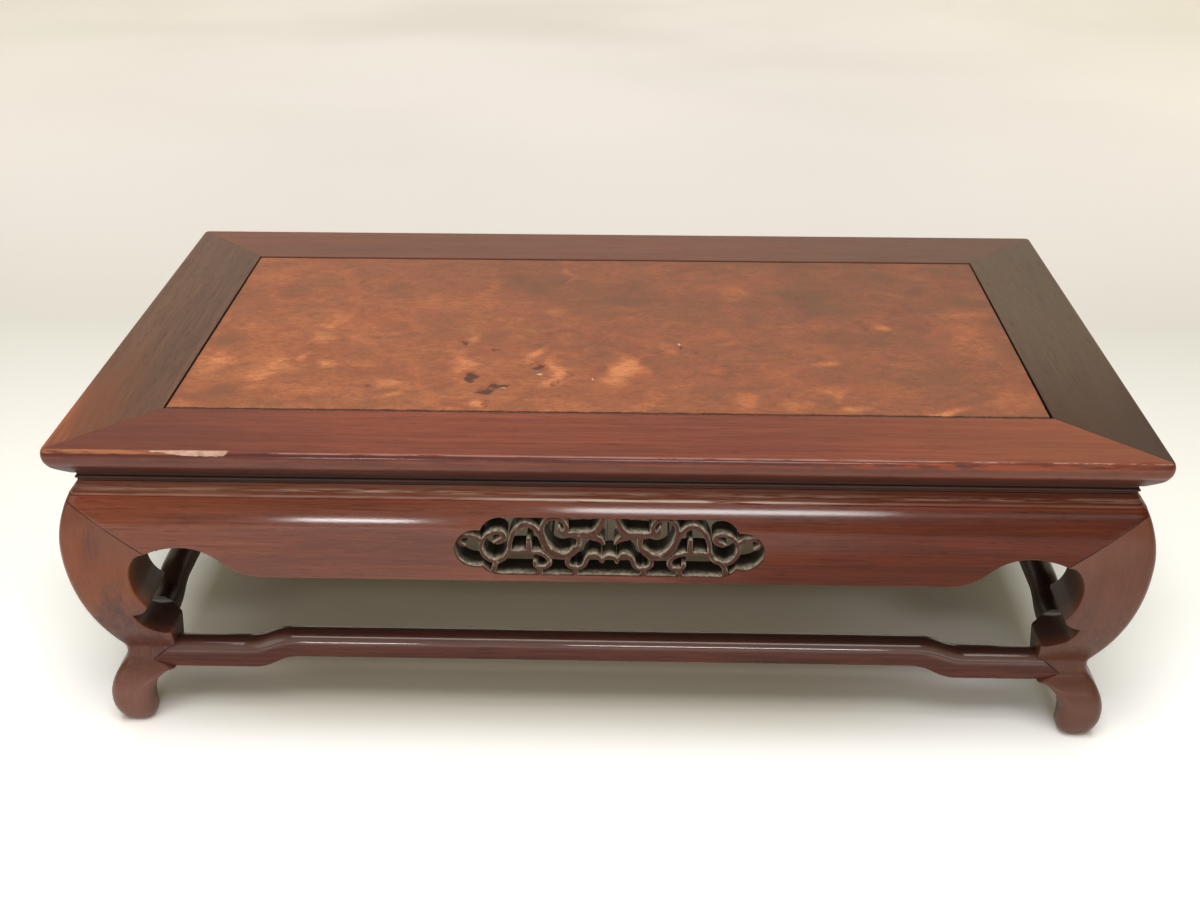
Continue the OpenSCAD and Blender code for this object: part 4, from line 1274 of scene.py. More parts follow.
# %% Tones of wood, wear and grime, and of painted light and shade
GRIME = (0.018, 0.01, 0.008)
# Painted shade under the rails' nose
NOSE_UNDERSIDE_SHADE = (0.036, 0.014, 0.012)
TONES = {
    "grime": GRIME, "worn": (0.4, 0.14, 0.055), "apron worn": (0.3, 0.1, 0.05), "fleck": (0.4, 0.24, 0.18),
    # Long rails; the shade under the nose, the nose's reflection band and the arris highlight are painted
    "left wine": (0.115, 0.032, 0.028), "right red": (0.33, 0.1, 0.042),
    "back faded": (0.155, 0.07, 0.044), "back dark": (0.1, 0.06, 0.04),
    "nose shade": (0.07, 0.016, 0.016), "nose brown": (0.12, 0.04, 0.024),
    "nose blot": (0.09, 0.028, 0.02), "nose pale": (0.19, 0.07, 0.04), "below nose": NOSE_UNDERSIDE_SHADE,
    "arris orange": (0.5, 0.19, 0.085), "arris red": (0.34, 0.07, 0.022),
    "arris shine": (0.72, 0.48, 0.45), "scuff": (0.5, 0.27, 0.19), "scuff pale": (0.75, 0.5, 0.38),
    # End rails; the lit edge at the left front is painted light with some wear
    "end grey": (0.08, 0.058, 0.037), "end orange": (0.24, 0.068, 0.03),
    "end dark": (0.06, 0.026, 0.017), "end corner": (0.05, 0.028, 0.022), "end lit": (0.42, 0.12, 0.045),
    # Legs; the right leg's shade, the inner sides' shade and the sheen by the joint and on the feet are
    # painted
    "flame": (0.26, 0.068, 0.021), "right leg": (0.1, 0.036, 0.018), "by the joint": (0.18, 0.066, 0.042),
    "right foot": (0.18, 0.085, 0.066), "left foot": (0.27, 0.125, 0.095), "inner side": (0.036, 0.02, 0.016),
    # Aprons and their carving; the shoulder and step highlights, the right and low shade and the light and
    # shade on the dust are painted
    "shoulder streak": (0.22, 0.125, 0.1), "shoulder shine": (0.5, 0.33, 0.27),
    "step": (0.5, 0.27, 0.21), "step shine": (0.85, 0.66, 0.56), "under step": (0.27, 0.04, 0.016),
    "right apron": (0.6, 0.46, 0.36), "low apron": (0.6, 0.6, 0.55), "crest": (0.062, 0.025, 0.019),
    "dust brown": (0.27, 0.22, 0.165), "dust pale": (0.66, 0.59, 0.46), "dust dark": (0.05, 0.042, 0.03),
    # Stretchers; the sheen on the edges and the shade on top are painted
    "bar rubbed": (0.2, 0.13, 0.12), "bar top": (0.035, 0.018, 0.014),
    # Burl
    "burl brown": (0.2, 0.088, 0.045), "burl red": (0.36, 0.09, 0.045),
    "burl shadow": (0.185, 0.088, 0.047), "burl fleck": (0.13, 0.055, 0.035),
    "void": (0.085, 0.047, 0.04), "speck": (0.75, 0.55, 0.4),
}
print("tones:", len(TONES))


# %% A finish under construction
class Finish:
    """A material with object coordinates in millimetres and helpers for patterns."""

    def __init__(self, name, roughness=0.35, specular=0.4):
        self.material = bpy.data.materials.new(name)
        self.material.use_nodes = True
        self.tree = self.material.node_tree
        self.shader = self.tree.nodes["Principled BSDF"]
        self.shader.inputs["Specular IOR Level"].default_value = specular
        self.shader.inputs["Roughness"].default_value = roughness
        self.place = self.add("ShaderNodeTexCoord").outputs["Object"]
        parts = self.add("ShaderNodeSeparateXYZ", None, {0: self.place})
        self.x, self.y, self.z = (Number(self.tree, s) * 1000 for s in parts.outputs)
        self.colour = None

    def add(self, kind, settings=None, sockets=None):
        return put(self.tree, kind, settings, sockets)

    def stored(self, name):
        return Number(self.tree, self.add("ShaderNodeAttribute", {"attribute_name": name}).outputs["Fac"])

    def noise(self, size, stretch=(1, 1, 1), detail=3, rough=0.5, seed=0, warp=0):
        """Uneven value around 0.5, in patches of about this size in mm."""
        place = self.add("ShaderNodeMapping", None, {
            "Vector": self.place, "Location": (seed * 3.7, seed * 1.3, seed * 2.1),
            "Scale": tuple(1000 / (size * s) for s in stretch)})
        node = self.add("ShaderNodeTexNoise", None, {
            "Vector": place.outputs[0], "Scale": 1.0, "Detail": detail, "Roughness": rough,
            "Distortion": warp})
        return Number(self.tree, node.outputs[0])

    def mix(self, share, a, b, how="MIX"):
        """Colour a turned towards colour b; either may be a tone's name."""
        a, b = (TONES[c] if isinstance(c, str) else c for c in (a, b))
        a, b = ((*c, 1) if isinstance(c, tuple) else c for c in (a, b))
        node = self.add("ShaderNodeMix", {"data_type": "RGBA", "blend_type": how},
                        {0: share, 6: a, 7: b})
        return node.outputs[2]

    def lay(self, share, tone, how="MIX"):
        """Lays a tone over the colour so far; MULTIPLY keeps the grain below it visible."""
        self.colour = self.mix(share, self.colour, tone, how)

    def line(self, value, middle, width):
        """1 where value is at the middle, fading to 0 over the width."""
        return 1 - (abs(value - middle) / width).at_most(1).ramp(0, 1)

    def feed(self, name, value):
        """Lets a number or a colour drive one input of the shader."""
        socket = value.socket if isinstance(value, Number) else value
        self.tree.links.new(socket, self.shader.inputs[name])

    def bump(self, height, depth):
        node = self.add("ShaderNodeBump", None, {"Height": height, "Distance": depth * MM, "Strength": 1.0})
        self.feed("Normal", node.outputs[0])

    def use(self, roughness):
        self.feed("Base Color", self.colour)
        self.feed("Roughness", roughness)
        return self.material


print("helpers of a finish:", ", ".join(name for name in vars(Finish) if not name.startswith("_")))

# %% Hardwood
GRAIN = {"x": (44, 1, 1), "y": (1, 44, 1), "z": (1, 1, 30)}


def stretched(grain, share):
    """A pattern's length along the grain, as a share of the full grain; 1 across it."""
    return tuple(max(1, g * share) for g in grain)


def shade(tone, by):
    return tuple(c * by for c in tone)


def hardwood(name, along, light, dark, streak=0.5, worn="worn", wear=0.5, roughness=0.34,
             specular=0.2, coat=0.0, coat_rough=0.1, fleck=0.0, marks=None, seed=0):
    wood = Finish(name, roughness, specular)
    wood.shader.inputs["Coat Weight"].default_value = coat
    wood.shader.inputs["Coat Roughness"].default_value = coat_rough
    grain = GRAIN[along]
    slow = stretched(grain, 1 / 8)
    tone = wood.noise(46, slow, 3, 0.55, seed, 0.3).ramp(0.32, 0.68)
    bands = wood.noise(3.4, grain, 4, 0.7, seed + 1, 0.2)
    fine = wood.noise(0.8, stretched(grain, 0.9), 2, 0.7, seed + 2)
    pores = wood.noise(0.5, stretched(grain, 0.4), 1, 0.5, seed + 3).ramp(0.6, 0.72)
    patchy = wood.noise(9, slow, 3, 0.6, seed + 4)
    wood.colour = wood.mix(tone * 0.7 + 0.15, dark, light)
    wood.lay(bands.ramp(0.46, 0.64) * streak, dark)
    wood.lay((1 - bands).ramp(0.5, 0.66) * (streak * 0.5), shade(light, 1.35))
    wood.lay(fine.ramp(0.5, 0.68) * (streak * 0.9), shade(dark, 0.45))
    wood.lay((1 - fine).ramp(0.54, 0.7) * (streak * 0.45), shade(light, 1.4))
    wood.lay(pores * 0.55, shade(dark, 0.45))
    bend = wood.stored("bend")
    edge = (bend * 0.9 + (patchy - 0.5) * 2.2).ramp(0.3, 1.0) * bend.ramp(0.05, 0.4)
    wood.lay(edge * wear, worn)
    grime = (bend * -1.5 + (patchy - 0.5) * 0.9).ramp(0.15, 0.9)
    if fleck:
        pale = wood.noise(0.6, stretched(grain, 0.3), 2, 0.6, seed + 5).ramp(0.6, 0.72)
        wood.lay(pale * fleck * patchy.ramp(0.35, 0.6), "fleck")
    gloss = roughness + (patchy - 0.5) * 0.14 + pores * 0.12 + grime * 0.2
    if marks:
        gloss = marks(wood, gloss, patchy)
    wood.lay(grime * 0.8, "grime")
    wood.bump(bands * 0.4 + fine * 0.5 - pores * 0.8, 0.04)
    return wood.use(gloss)


print("grain runs along:", ", ".join(GRAIN))


# %% [markdown]
# ## Marks of this one stand
# The stand has aged unevenly. The long rails are red and darker at the left mitre, and the end
# rails have faded to grey brown. The legs carry a warm flame on the knee. There is a pale
# scuff on the front edge, and a dark line with nicks where the panel meets the frame. Other
# marks are painted light and shade: highlights on the arris, shoulder and step, shade under
# the nose, on the right of the apron and on the legs, and sheen on the stretchers and feet.
# Such marks have a place, so each is a band of x, y or z with an uneven edge. The alternative,
# a painted picture, would need flat maps of every piece.

# %% Helpers for places
def band_of(value, low, high, soft):
    """1 between low and high, fading over soft on both sides."""
    return value.ramp(low - soft, low + soft) * (1 - value.ramp(high - soft, high + soft))


def on_left(wood):
    return 1 - wood.x.ramp(-20, 20)


def in_along(wood):
    """Distance in from the nearest corner of the stand, along the face that is seen."""
    return (top_l / 2 - abs(wood.x)).at_least(top_w / 2 - abs(wood.y))


def panel_line(wood, gap):
    """Dark line with nicks on the frame's side of the joint round the panel."""
    nicks = wood.noise(2.4, (1, 1, 1), 3, 0.7, 61)
    line = (1 - (gap + (nicks - 0.5) * 1.1).ramp(0.2, 0.55)) * wood.z.ramp(top_h - 3, top_h - 2)
    wood.lay(line * 0.9 * (1 - wood.y.ramp(60, 90) * 0.6), "grime")


def painted_shade_below(wood, uneven):
    """Painted shade on the rails' moulding where it turns under."""
    low = 1 - (wood.z + (uneven - 0.5) * 1.5).ramp(top_h - 9.8, top_h - 7.8)
    wood.lay(low * 0.85, "below nose")


print("the rails are dark below", round(top_h - 8.8, 1), "mm")


# %% Tones and nose of the long rails
def rail_tones(wood, front, streaks, patchy):
    """Wine red at the left mitre, warmer to the right, and faded at the back."""
    left = (1 - (wood.x + (patchy - 0.5) * 80).ramp(-225, -110)) * front
    wood.lay(left * 0.5, "left wine")
    wood.lay((wood.x + (streaks - 0.5) * 260).ramp(60, 230) * front * 0.4, "right red")
    wood.lay((1 - front) * 0.6, "back faded")
    wood.lay((1 - front) * (wood.x + (streaks - 0.5) * 160).ramp(0, 240) * 0.6, "back dark")


def nose_tones(wood, nose, rubbed):
    """The moulded nose: painted shade under its arris, and at its middle a brown painted reflection,
    blotched.
    """
    # Painted shade under the arris, then a band that stands in for the floor's reflection
    under = band_of(wood.z + (rubbed - 0.5) * 1.2, top_h - 3.2, top_h - 1.0, 0.5)
    wood.lay(nose * under * 0.7, "nose shade")
    middle = band_of(wood.z + (rubbed - 0.5) * 1.5, top_h - 7.2, top_h - 4, 1)
    wood.lay(nose * middle * 0.75, "nose brown")
    blots = wood.noise(5, (5, 1, 1), 4, 0.65, 69)
    wood.lay(nose * blots.ramp(0.5, 0.66) * 0.5, "nose blot")
    wood.lay(nose * (1 - blots).ramp(0.52, 0.66) * 0.4, "nose pale")


print("long rails: red to the right, grey at the back, nose below", round(top_h - 1, 1), "mm")


# %% Arris and scuff of the long rails
def arris_marks(wood, edge, rubbed, streaks):
    """Worn orange at the left, red at the right, and a broken painted highlight along the arris."""
    along = wood.noise(16, (1, 1, 1), 2, 0.5, 64)
    worn = wood.z.ramp(top_h - 1.9, top_h - 1.0) * edge
    worn = worn * (1 - (wood.x + (along - 0.5) * 60).ramp(-200, -168)) * rubbed.ramp(0.35, 0.6)
    wood.lay(worn * 0.75, "arris orange")
    red = edge * band_of(wood.z + (streaks - 0.5) * 3, top_h - 3.4, top_h - 1.2, 0.5)
    red = red * band_of(wood.x + (along - 0.5) * 60, 108, 235, 20) * rubbed.ramp(0.38, 0.6)
    wood.lay(red * 0.8, "arris red")
    # A painted highlight: the broken bright line along the arris
    line = wood.line(wood.z, top_h - 0.45, 0.35) * edge
    shine = line * band_of(wood.x + (along - 0.5) * 50, -150, 150, 12) * rubbed.ramp(0.32, 0.5)
    dashes = line * (wood.x + (along - 0.5) * 90).ramp(80, 150) * rubbed.ramp(0.48, 0.58)
    wood.lay((shine * 0.4).at_least(dashes * 0.55), "arris shine")
    return shine


def scuff_mark(wood):
    """A pale chip along the front edge, taller at its left end."""
    left_end, right_end, tallest = -201, -166.5, 1.7
    uneven = wood.noise(2.2, (2.5, 1, 1), 4, 0.7, 67)
    start = wood.x.ramp(left_end - 2, left_end + 21)
    tall = 0.25 + start * tallest - (wood.x - right_end + 2).at_least(0) * 0.6
    scuff = band_of(wood.x + (uneven - 0.5) * 5, left_end, right_end, 0.8)
    scuff = scuff * (wood.z + tall + (uneven - 0.5) * 1.2 - top_h).ramp(-0.12, 0.12)
    back = wood.y + (uneven - 0.5) * 1.4 + top_w / 2 - nose_out - start * 0.6
    scuff = scuff * (1 - back.ramp(0, 0.5))
    wood.lay(scuff * 0.85, wood.mix(uneven.ramp(0.3, 0.7), "scuff", "scuff pale"))
    return scuff


def long_rail_marks(wood, gloss, patchy):
    front = 1 - wood.y.ramp(-20, 20)
    streaks = wood.noise(3.5, (40, 1, 1), 3, 0.6, 62)
    rubbed = wood.noise(1.6, (8, 1, 1), 3, 0.65, 63)
    nose = (abs(wood.y) - top_w / 2 + nose_out + 0.9).ramp(0, 0.5)
    rail_tones(wood, front, streaks, patchy)
    nose_tones(wood, nose, rubbed)
    painted_shade_below(wood, rubbed)
    shine = arris_marks(wood, nose * front, rubbed, streaks)
    scuff = scuff_mark(wood)
    wood.feed("Coat Weight", nose * 0.22)
    panel_line(wood, (abs(wood.y) - (top_w / 2 - rail_w)) * (1 - front * 0.65))
    return gloss - shine * 0.1 + scuff * 0.25


print("long rails: arris at", round(top_h - 0.45, 1), "mm, scuff at the front left")


# %% Marks on the end rails
def end_rail_marks(wood, gloss, patchy):
    """Grey brown, with orange streaks at the left front and a dark right front corner."""
    streaks = wood.noise(2.4, (1, 34, 1), 3, 0.6, 65)
    near = 1 - (wood.y + (streaks - 0.5) * 120).ramp(-120, 10)
    left = on_left(wood)
    right = 1 - left
    outer = abs(wood.x) + (streaks - 0.5) * 34
    wood.lay(right * 0.6, "end grey")
    wood.lay(near * left * outer.ramp(210, 246) * 0.7, "end orange")
    wood.lay(near * right * 0.85, "end dark")
    wood.lay((outer - wood.y * 0.25).ramp(252, 284) * right * 0.8, "end corner")
    # Painted light with some wear: a lighter band along the left outer edge near the front
    lit = outer.ramp(243, 251) * left * (1 - (wood.y + (streaks - 0.5) * 60).ramp(-120, -60))
    wood.lay(lit * 0.75, "end lit")
    painted_shade_below(wood, streaks)
    panel_line(wood, (abs(wood.x) - (top_l / 2 - rail_w)) * 1.6)
    return gloss


print("end rails: faded, dark at the right front")


# %% Joint lines and marks on the legs
def seam(wood):
    """Dark hairline along the joint of leg and apron, open at its ends."""
    along = in_along(wood)
    off = abs(wood.z - spring_h - (leg_in - along) * mitre_slope) * math.cos(mitre_angle)
    uneven = wood.noise(7, (1, 1, 1), 3, 0.6, 66)
    open_ends = 0.1 + abs(along - 19) / 14 + (uneven - 0.5) * 0.9
    line = (1 - (off / 0.3).ramp(0.3, 1.3)) * open_ends.at_most(1).at_least(0)
    wood.lay(line * (wood.z.ramp(spring_h - 1, spring_h)), "grime")


def shoulder_lines(wood):
    """Dark crack round the stretchers' pointed shoulders."""
    along = in_along(wood)
    across = (top_l / 2 - abs(wood.x)).at_most(top_w / 2 - abs(wood.y))
    tip, low, _, _, high = point_outline()
    tip_x, tip_z = (float(at) for at in tip)
    for end, strength in ((high, 0.95), (low, 0.2)):
        run = np.array(end) - tip
        run_x, run_z = (float(at) for at in run / np.linalg.norm(run))
        off = abs((along - tip_x) * run_z - (wood.z - tip_z) * run_x)
        past = (along - tip_x) * run_x + (wood.z - tip_z) * run_z
        line = 1 - (off / (0.28 + past * 0.02)).ramp(0.6, 1.6)
        line = line * past.ramp(-0.4, 0.1) * (1 - past.ramp(13, 15))
        line = line * (1 - across.ramp(POINT_BACK - 1, POINT_BACK))
        wood.lay(line * strength, "grime")


def leg_marks(wood, gloss, patchy):
    """Knee flame; painted shade on the right legs and inner sides; painted sheen by the joint and on the
    purple brown feet.
    """
    flame = wood.noise(16, (1, 1, 2.4), 3, 0.65, 21, 0.6) * 1.2 + wood.z.ramp(40, 100) * 0.3 - 0.3
    left = on_left(wood)
    wood.lay(flame.ramp(0.35, 0.7) * (0.3 + left * 0.35), "flame")
    # The right legs are browner, and darker with painted shade
    wood.lay((1 - left) * 0.5, "right leg")
    # A lighter, greyer tone near the joint is painted sheen
    below = (leg_in - in_along(wood)) * mitre_slope + spring_h - wood.z + (patchy - 0.5) * 30
    wood.lay((1 - below.ramp(2, 22)) * 0.7, "by the joint")
    # The feet are turned lighter and pinker with painted sheen, most on the left
    low = 1 - wood.z.ramp(15, 48)
    wood.lay(low * 0.6, wood.mix(left, "right foot", "left foot"))
    # Painted shade on the leg's inner sides
    inner = wood.stored("inner") * (1 - wood.z.ramp(spring_h - 2, spring_h + 4))
    inner = inner * wood.z.ramp(foot_h, stretcher_low)
    wood.lay(inner * 0.8, "inner side")
    wood.feed("Coat Weight", wood.z.ramp(30, 90) * 0.15 + 0.18)
    seam(wood)
    shoulder_lines(wood)
    return gloss + inner * 0.1


print("legs: flame on the knee, joint lines at", round(spring_h, 1), "mm and", stretcher_low, "mm")


# %% Marks on the aprons
def shoulder_marks(wood):
    """Pale streaks and a painted highlight on the shoulder above the apron's swell, and a rubbed line at its
    step that is also a painted highlight.
    """
    step_h = apron_top - shoulder_h
    uneven = wood.noise(0.8, (34, 34, 1), 3, 0.65, 68)
    # Pale streaks on the shoulder, partly dust in the grain and partly painted sheen
    high = wood.z.ramp(apron_top - 5.4, apron_top - 4.6) * (1 - wood.x.ramp(80, 150) * 0.8)
    wood.lay(high * uneven.ramp(0.3, 0.7) * 0.45, "shoulder streak")
    # A painted highlight along the shoulder, brightest at the left
    bright = 0.4 + (1 - (abs(wood.x + 108) / 60).ramp(0, 1)) * 0.6
    streak = wood.line(wood.z + (uneven - 0.5) * 1.5, apron_top - 2.6, 1.3) * uneven.ramp(0.4, 0.6)
    wood.lay(streak * bright, "shoulder shine")
    # The step line is rubbed wear and a painted highlight, brightest in the lit span
    step = wood.line(wood.z, step_h + 0.6, 0.85) * uneven.ramp(0.3, 0.5)
    lit = band_of(wood.x, -46, 92, 40)
    strength = (lit * 0.35 + 0.6) * (1 - wood.x.ramp(90, 160) * 0.5)
    wood.lay(step * strength, wood.mix(lit, "step", "step shine"))
    under = wood.line(wood.z, step_h - 0.7, 1.0) * uneven.ramp(0.25, 0.6)
    wood.lay(under * 0.45, "under step")
    seam(wood)


def dust_with_painted_light_and_shade(wood, close):
    """Old dust on the walls inside the window, with painted light near the crests and painted shade behind.
    """
    dust = wood.stored("dust")
    uneven = wood.noise(3.2, (1, 1, 1), 4, 0.65, 31)
    tint = wood.noise(1.8, (1, 1, 1), 3, 0.6, 32).ramp(0.35, 0.7)
    # The dust is paler where light falls near the crests and darker deeper in: painted light and shade
    pale = wood.mix(tint, "dust brown", "dust pale")
    grey = wood.mix((dust + (uneven - 0.5) * 0.45).ramp(0.08, 0.62), pale, "dust dark")
    share = (dust * 14 + (uneven - 0.5) * (close * 1.4 + 1)).ramp(0.2, 1.1)
    wood.lay(share * 0.94, grey)
    return share


def carved_apron_marks(wood, gloss, patchy):
    """Duller to the right and below, and darker and browner there with painted shade, with dark crests in the
    window.
    """
    # Painted shade: the right half is darker, and more so low down
    right = (wood.x + (patchy - 0.5) * 120).ramp(-60, 90)
    wood.lay(right, "right apron", "MULTIPLY")
    wood.lay(right * (1 - wood.z.ramp(94, 114)) * 0.6, "low apron", "MULTIPLY")
    shoulder_marks(wood)
    close = wood.stored("window")
    wood.lay(close * 0.8, "crest")
    swell = wood.z.ramp(106, 115) * (1 - wood.x.ramp(80, 150) * 0.7)
    polished = (1 - right).at_least(swell) * 0.42 + 0.06
    wood.feed("Coat Weight", polished * (1 - close * 0.75))
    return gloss + dust_with_painted_light_and_shade(wood, close) * 0.4


def end_apron_marks(wood, gloss, patchy):
    shoulder_marks(wood)
    return gloss


print("aprons: shoulder lit from", -46, "to", 92, "mm")


# %% Marks on the long stretchers
def bar_marks(wood, gloss, patchy):
    """Painted sheen along the rounded edges, painted shade on top, red and dull on the upright faces."""
    normal = wood.add("ShaderNodeNewGeometry").outputs["Normal"]
    up = Number(wood.tree, wood.add("ShaderNodeSeparateXYZ", None, {0: normal}).outputs[2])
    # A painted sheen on the upper rounding and painted shade on the top
    wood.lay(band_of(up + (patchy - 0.5) * 0.3, 0.3, 0.72, 0.16) * 0.5, "bar rubbed")
    wood.lay(up.ramp(0.75, 0.95) * 0.5, "bar top")
    wood.feed("Coat Weight", up.ramp(0.02, 0.3) * 0.8 + 0.1)
    return gloss


# The sheen at the edges and the shade on top are painted
print("long stretchers: dark on top, rubbed at the edges")


# %% [markdown]
# ## Colours of each wood
# One recipe gives every wood; only colours, strengths and marks differ. The long rails and
# aprons are a red wood, the long stretchers a darker one. End rails are browner. The end
# stretchers are browner still and painted dark for the shade they lie in, and the waist in the
# top's shadow is painted nearly black.

# %% Woods by piece
RED = {"light": (0.3, 0.069, 0.035), "dark": (0.13, 0.03, 0.019), "specular": 0.18, "wear": 0.1}
FADED = {"light": (0.175, 0.078, 0.046), "dark": (0.105, 0.052, 0.034), "specular": 0.18, "wear": 0.25}
APRON = {"light": (0.25, 0.064, 0.032), "dark": (0.125, 0.035, 0.02), "streak": 0.45,
         "worn": "apron worn", "wear": 0.1, "roughness": 0.3, "specular": 0.12, "fleck": 0.15}
LEG = {"light": (0.165, 0.052, 0.031), "dark": (0.075, 0.025, 0.019), "streak": 0.6,
       "roughness": 0.32, "specular": 0.14, "coat_rough": 0.2, "wear": 0.2, "fleck": 0.15}
# The waist's near black is painted shade from the top above it
WAIST = {"light": (0.04, 0.011, 0.009), "dark": (0.017, 0.007, 0.006), "wear": 0.1}
BAR = {"light": (0.13, 0.04, 0.027), "dark": (0.055, 0.019, 0.015), "specular": 0.1,
       "coat_rough": 0.06, "wear": 0.1}
# The end stretchers are browner and painted dark for the shade they lie in
SHADED_END_BAR = {"light": (0.06, 0.03, 0.021), "dark": (0.026, 0.014, 0.011), "specular": 0.1,
           "coat": 0.15, "wear": 0.1}
BATTEN = {"light": (0.3, 0.17, 0.09), "dark": (0.17, 0.085, 0.045), "roughness": 0.6}
woods = {
    "rail_x": hardwood("rail_rosewood", "x", streak=0.48, marks=long_rail_marks, seed=1, **RED),
    "rail_y": hardwood("end_rail_rosewood", "y", marks=end_rail_marks, seed=2, **FADED),
    "waist": hardwood("waist_rosewood", "x", seed=3, **WAIST),
    "apron_x": hardwood("apron_rosewood", "x", marks=carved_apron_marks, seed=4, **APRON),
    "apron_y": hardwood("end_apron_rosewood", "y", coat=0.5, marks=end_apron_marks, seed=5, **APRON),
    "leg": hardwood("leg_rosewood", "z", marks=leg_marks, seed=6, **LEG),
    "stretcher_x": hardwood("stretcher_rosewood", "x", marks=bar_marks, seed=7, **BAR),
    "stretcher_y": hardwood("end_stretcher_rosewood", "y", seed=8, **SHADED_END_BAR),
    "batten": hardwood("batten_wood", "y", seed=9, **BATTEN),
}
print("woods:", len(woods))

# %% [markdown]
# ## Burl
# Burl has no straight grain. Its colour drifts in clouds with paler islands and greenish
# shadows, over a fine mottle. The largest clouds are places on this panel and are stored on
# its points; noise frays their edges and fills in the rest. The open voids are dark inside.

# %% Burl finish
# Pale specks as [x, y, length, width], and the burl's tones from dark to pale
SPECKS = [(-49.5, -73.5, 4.4, 1.5), (-33, -58, 4, 2.2), (-7, -63, 1.3, 2.8), (36, -20, 1.9, 3)]
BURL_TONES = [
    (0.08, (0.17, 0.074, 0.045)), (0.32, (0.25, 0.088, 0.048)), (0.5, (0.335, 0.108, 0.053)),
    (0.66, (0.43, 0.14, 0.061)), (0.8, (0.54, 0.187, 0.076)), (0.97, (0.68, 0.255, 0.11)),
]


def burl_tone(wood, cloud, broad, frayed, small, eyes):
    """Place on the row of tones: clouds frayed by noise of every size, darker to one side."""
    fibre = wood.noise(0.9, (8, 1, 1), 3, 0.7, 48)
    side = wood.x.ramp(-190, 190) * 0.14 + (wood.y + wood.x * 0.3).ramp(-100, 100) * 0.15 - 0.085
    return (0.51 + cloud.at_least(0) * 0.42 + cloud.at_most(0) * 0.14 + (broad - 0.5) * 0.3
            + (frayed - 0.5) * 0.85 + (small - 0.5) * 0.85 + (eyes - 0.5) * 0.7 + (fibre - 0.5) * 0.5 - side)


def burl():
    wood = Finish("burl_maple", 0.48, 0.15)
    broad = wood.noise(42, (1.3, 1, 1), 3, 0.5, 42, 0.5)
    frayed = wood.noise(12, (1.5, 1, 1), 5, 0.68, 41, 0.8)
    small = wood.noise(3.4, (1.7, 1, 1), 4, 0.72, 43, 0.6)
    eyes = wood.noise(1.3, (1.6, 1, 1), 3, 0.75, 45)
    hue = wood.noise(24, (1.2, 1, 1), 4, 0.6, 46, 0.6)
    cloud = wood.stored("cloud")
    tone = burl_tone(wood, cloud, broad, frayed, small, eyes)
    wood.colour = wood.add("ShaderNodeValToRGB", {"stops": BURL_TONES}, {0: tone}).outputs[0]
    wood.lay(hue.ramp(0.45, 0.7) * 0.3, "burl brown")
    wood.lay((1 - hue).ramp(0.5, 0.72) * 0.25, "burl red")
    wood.lay((cloud * -1 + (frayed - 0.5)).ramp(0.1, 1.1) * 0.35, "burl shadow")
    fleck = wood.noise(2.2, (3.2, 1, 1), 3, 0.7, 47).ramp(0.6, 0.7) * frayed.ramp(0.42, 0.6)
    wood.lay(fleck * 0.5, "burl fleck")
    deep = (panel_face_h - wood.z + (small - 0.5) * 0.7 + (eyes - 0.5) * 0.55).ramp(0.06, 0.36)
    wood.lay(deep * 0.85, "void")
    for x, y, length, width in SPECKS:
        reach = abs(wood.x - x) / length + abs(wood.y - y) / width + (small - 0.5) * 0.3
        wood.lay((1 - reach.ramp(0.38, 0.5)) * 0.9, "speck")
    front = 1 - wood.y.ramp(-60, -40)
    rim = (panel_w / 2 - abs(wood.y) - front * 0.7).at_most((panel_l / 2 - abs(wood.x)) * 2)
    line = 1 - (rim + (small - 0.5) * 2.2).ramp(0.1, 0.7)
    wood.lay(line * 0.85 * (1 - wood.y.ramp(60, 90) * 0.7), "grime")
    wood.bump(eyes * 0.4 + small * 0.4, 0.05)
    return wood.use(0.42 + (small - 0.5) * 0.2 + deep * 0.3)


woods["burl"] = burl()
print("burl:", len(woods["burl"].node_tree.nodes), "nodes")


# %% Each piece gets its wood
def wood_of(name):
    ends = name.startswith(("left_", "right_"))
    for part in ("rail", "apron", "stretcher"):
        if part in name:
            return woods[part + ("_y" if ends else "_x")]
    return woods[next(part for part in ("waist", "leg", "burl", "batten") if part in name)]


battens = [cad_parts[name] for name in ("left_batten", "right_batten")]
for piece in pieces_made + battens:
    piece.data.materials.clear()
    piece.data.materials.append(wood_of(piece.name))
print("finished pieces:", len(pieces_made) + len(battens))

# %% [markdown]
# ## Floor, backdrop and light
# The stand is photographed on a white sheet that bends up behind it, under a wide soft light.
# The sheet is one curved surface with a pale paper material. Its tones are set for the camera,
# as a print would show them, and paint light and shade on it, with a painted shadow under the
# stand, while the wood is lit by one plain paper colour.

# %% Paper sweep
SHEET_HALF, BEND_START, BEND_R, SHEET_TOP = 6, 1.6, 0.8, 4


def sweep_mesh():
    """Floor that bends up into a backdrop, in metres."""
    turn = np.radians(np.linspace(0, 90, 17))
    profile = [(-SHEET_HALF, 0), (BEND_START, 0)]
    profile += [(BEND_START + BEND_R * math.sin(a), BEND_R - BEND_R * math.cos(a)) for a in turn[1:]]
    profile += [(BEND_START + BEND_R, SHEET_TOP)]
    points = [(x, y, z) for x in (-SHEET_HALF, SHEET_HALF) for y, z in profile]
    n = len(profile)
    faces = [(k, k + n, k + n + 1, k + 1) for k in range(n - 1)]
    mesh = bpy.data.meshes.new("sweep")
    mesh.from_pydata(points, [], faces)
    for face in mesh.polygons:
        face.use_smooth = True
    return mesh


sweep = new_object("sweep", sweep_mesh())
print("sweep:", len(sweep.data.polygons), "faces")

# %% Paper
PAPER_LIFT = 1.5
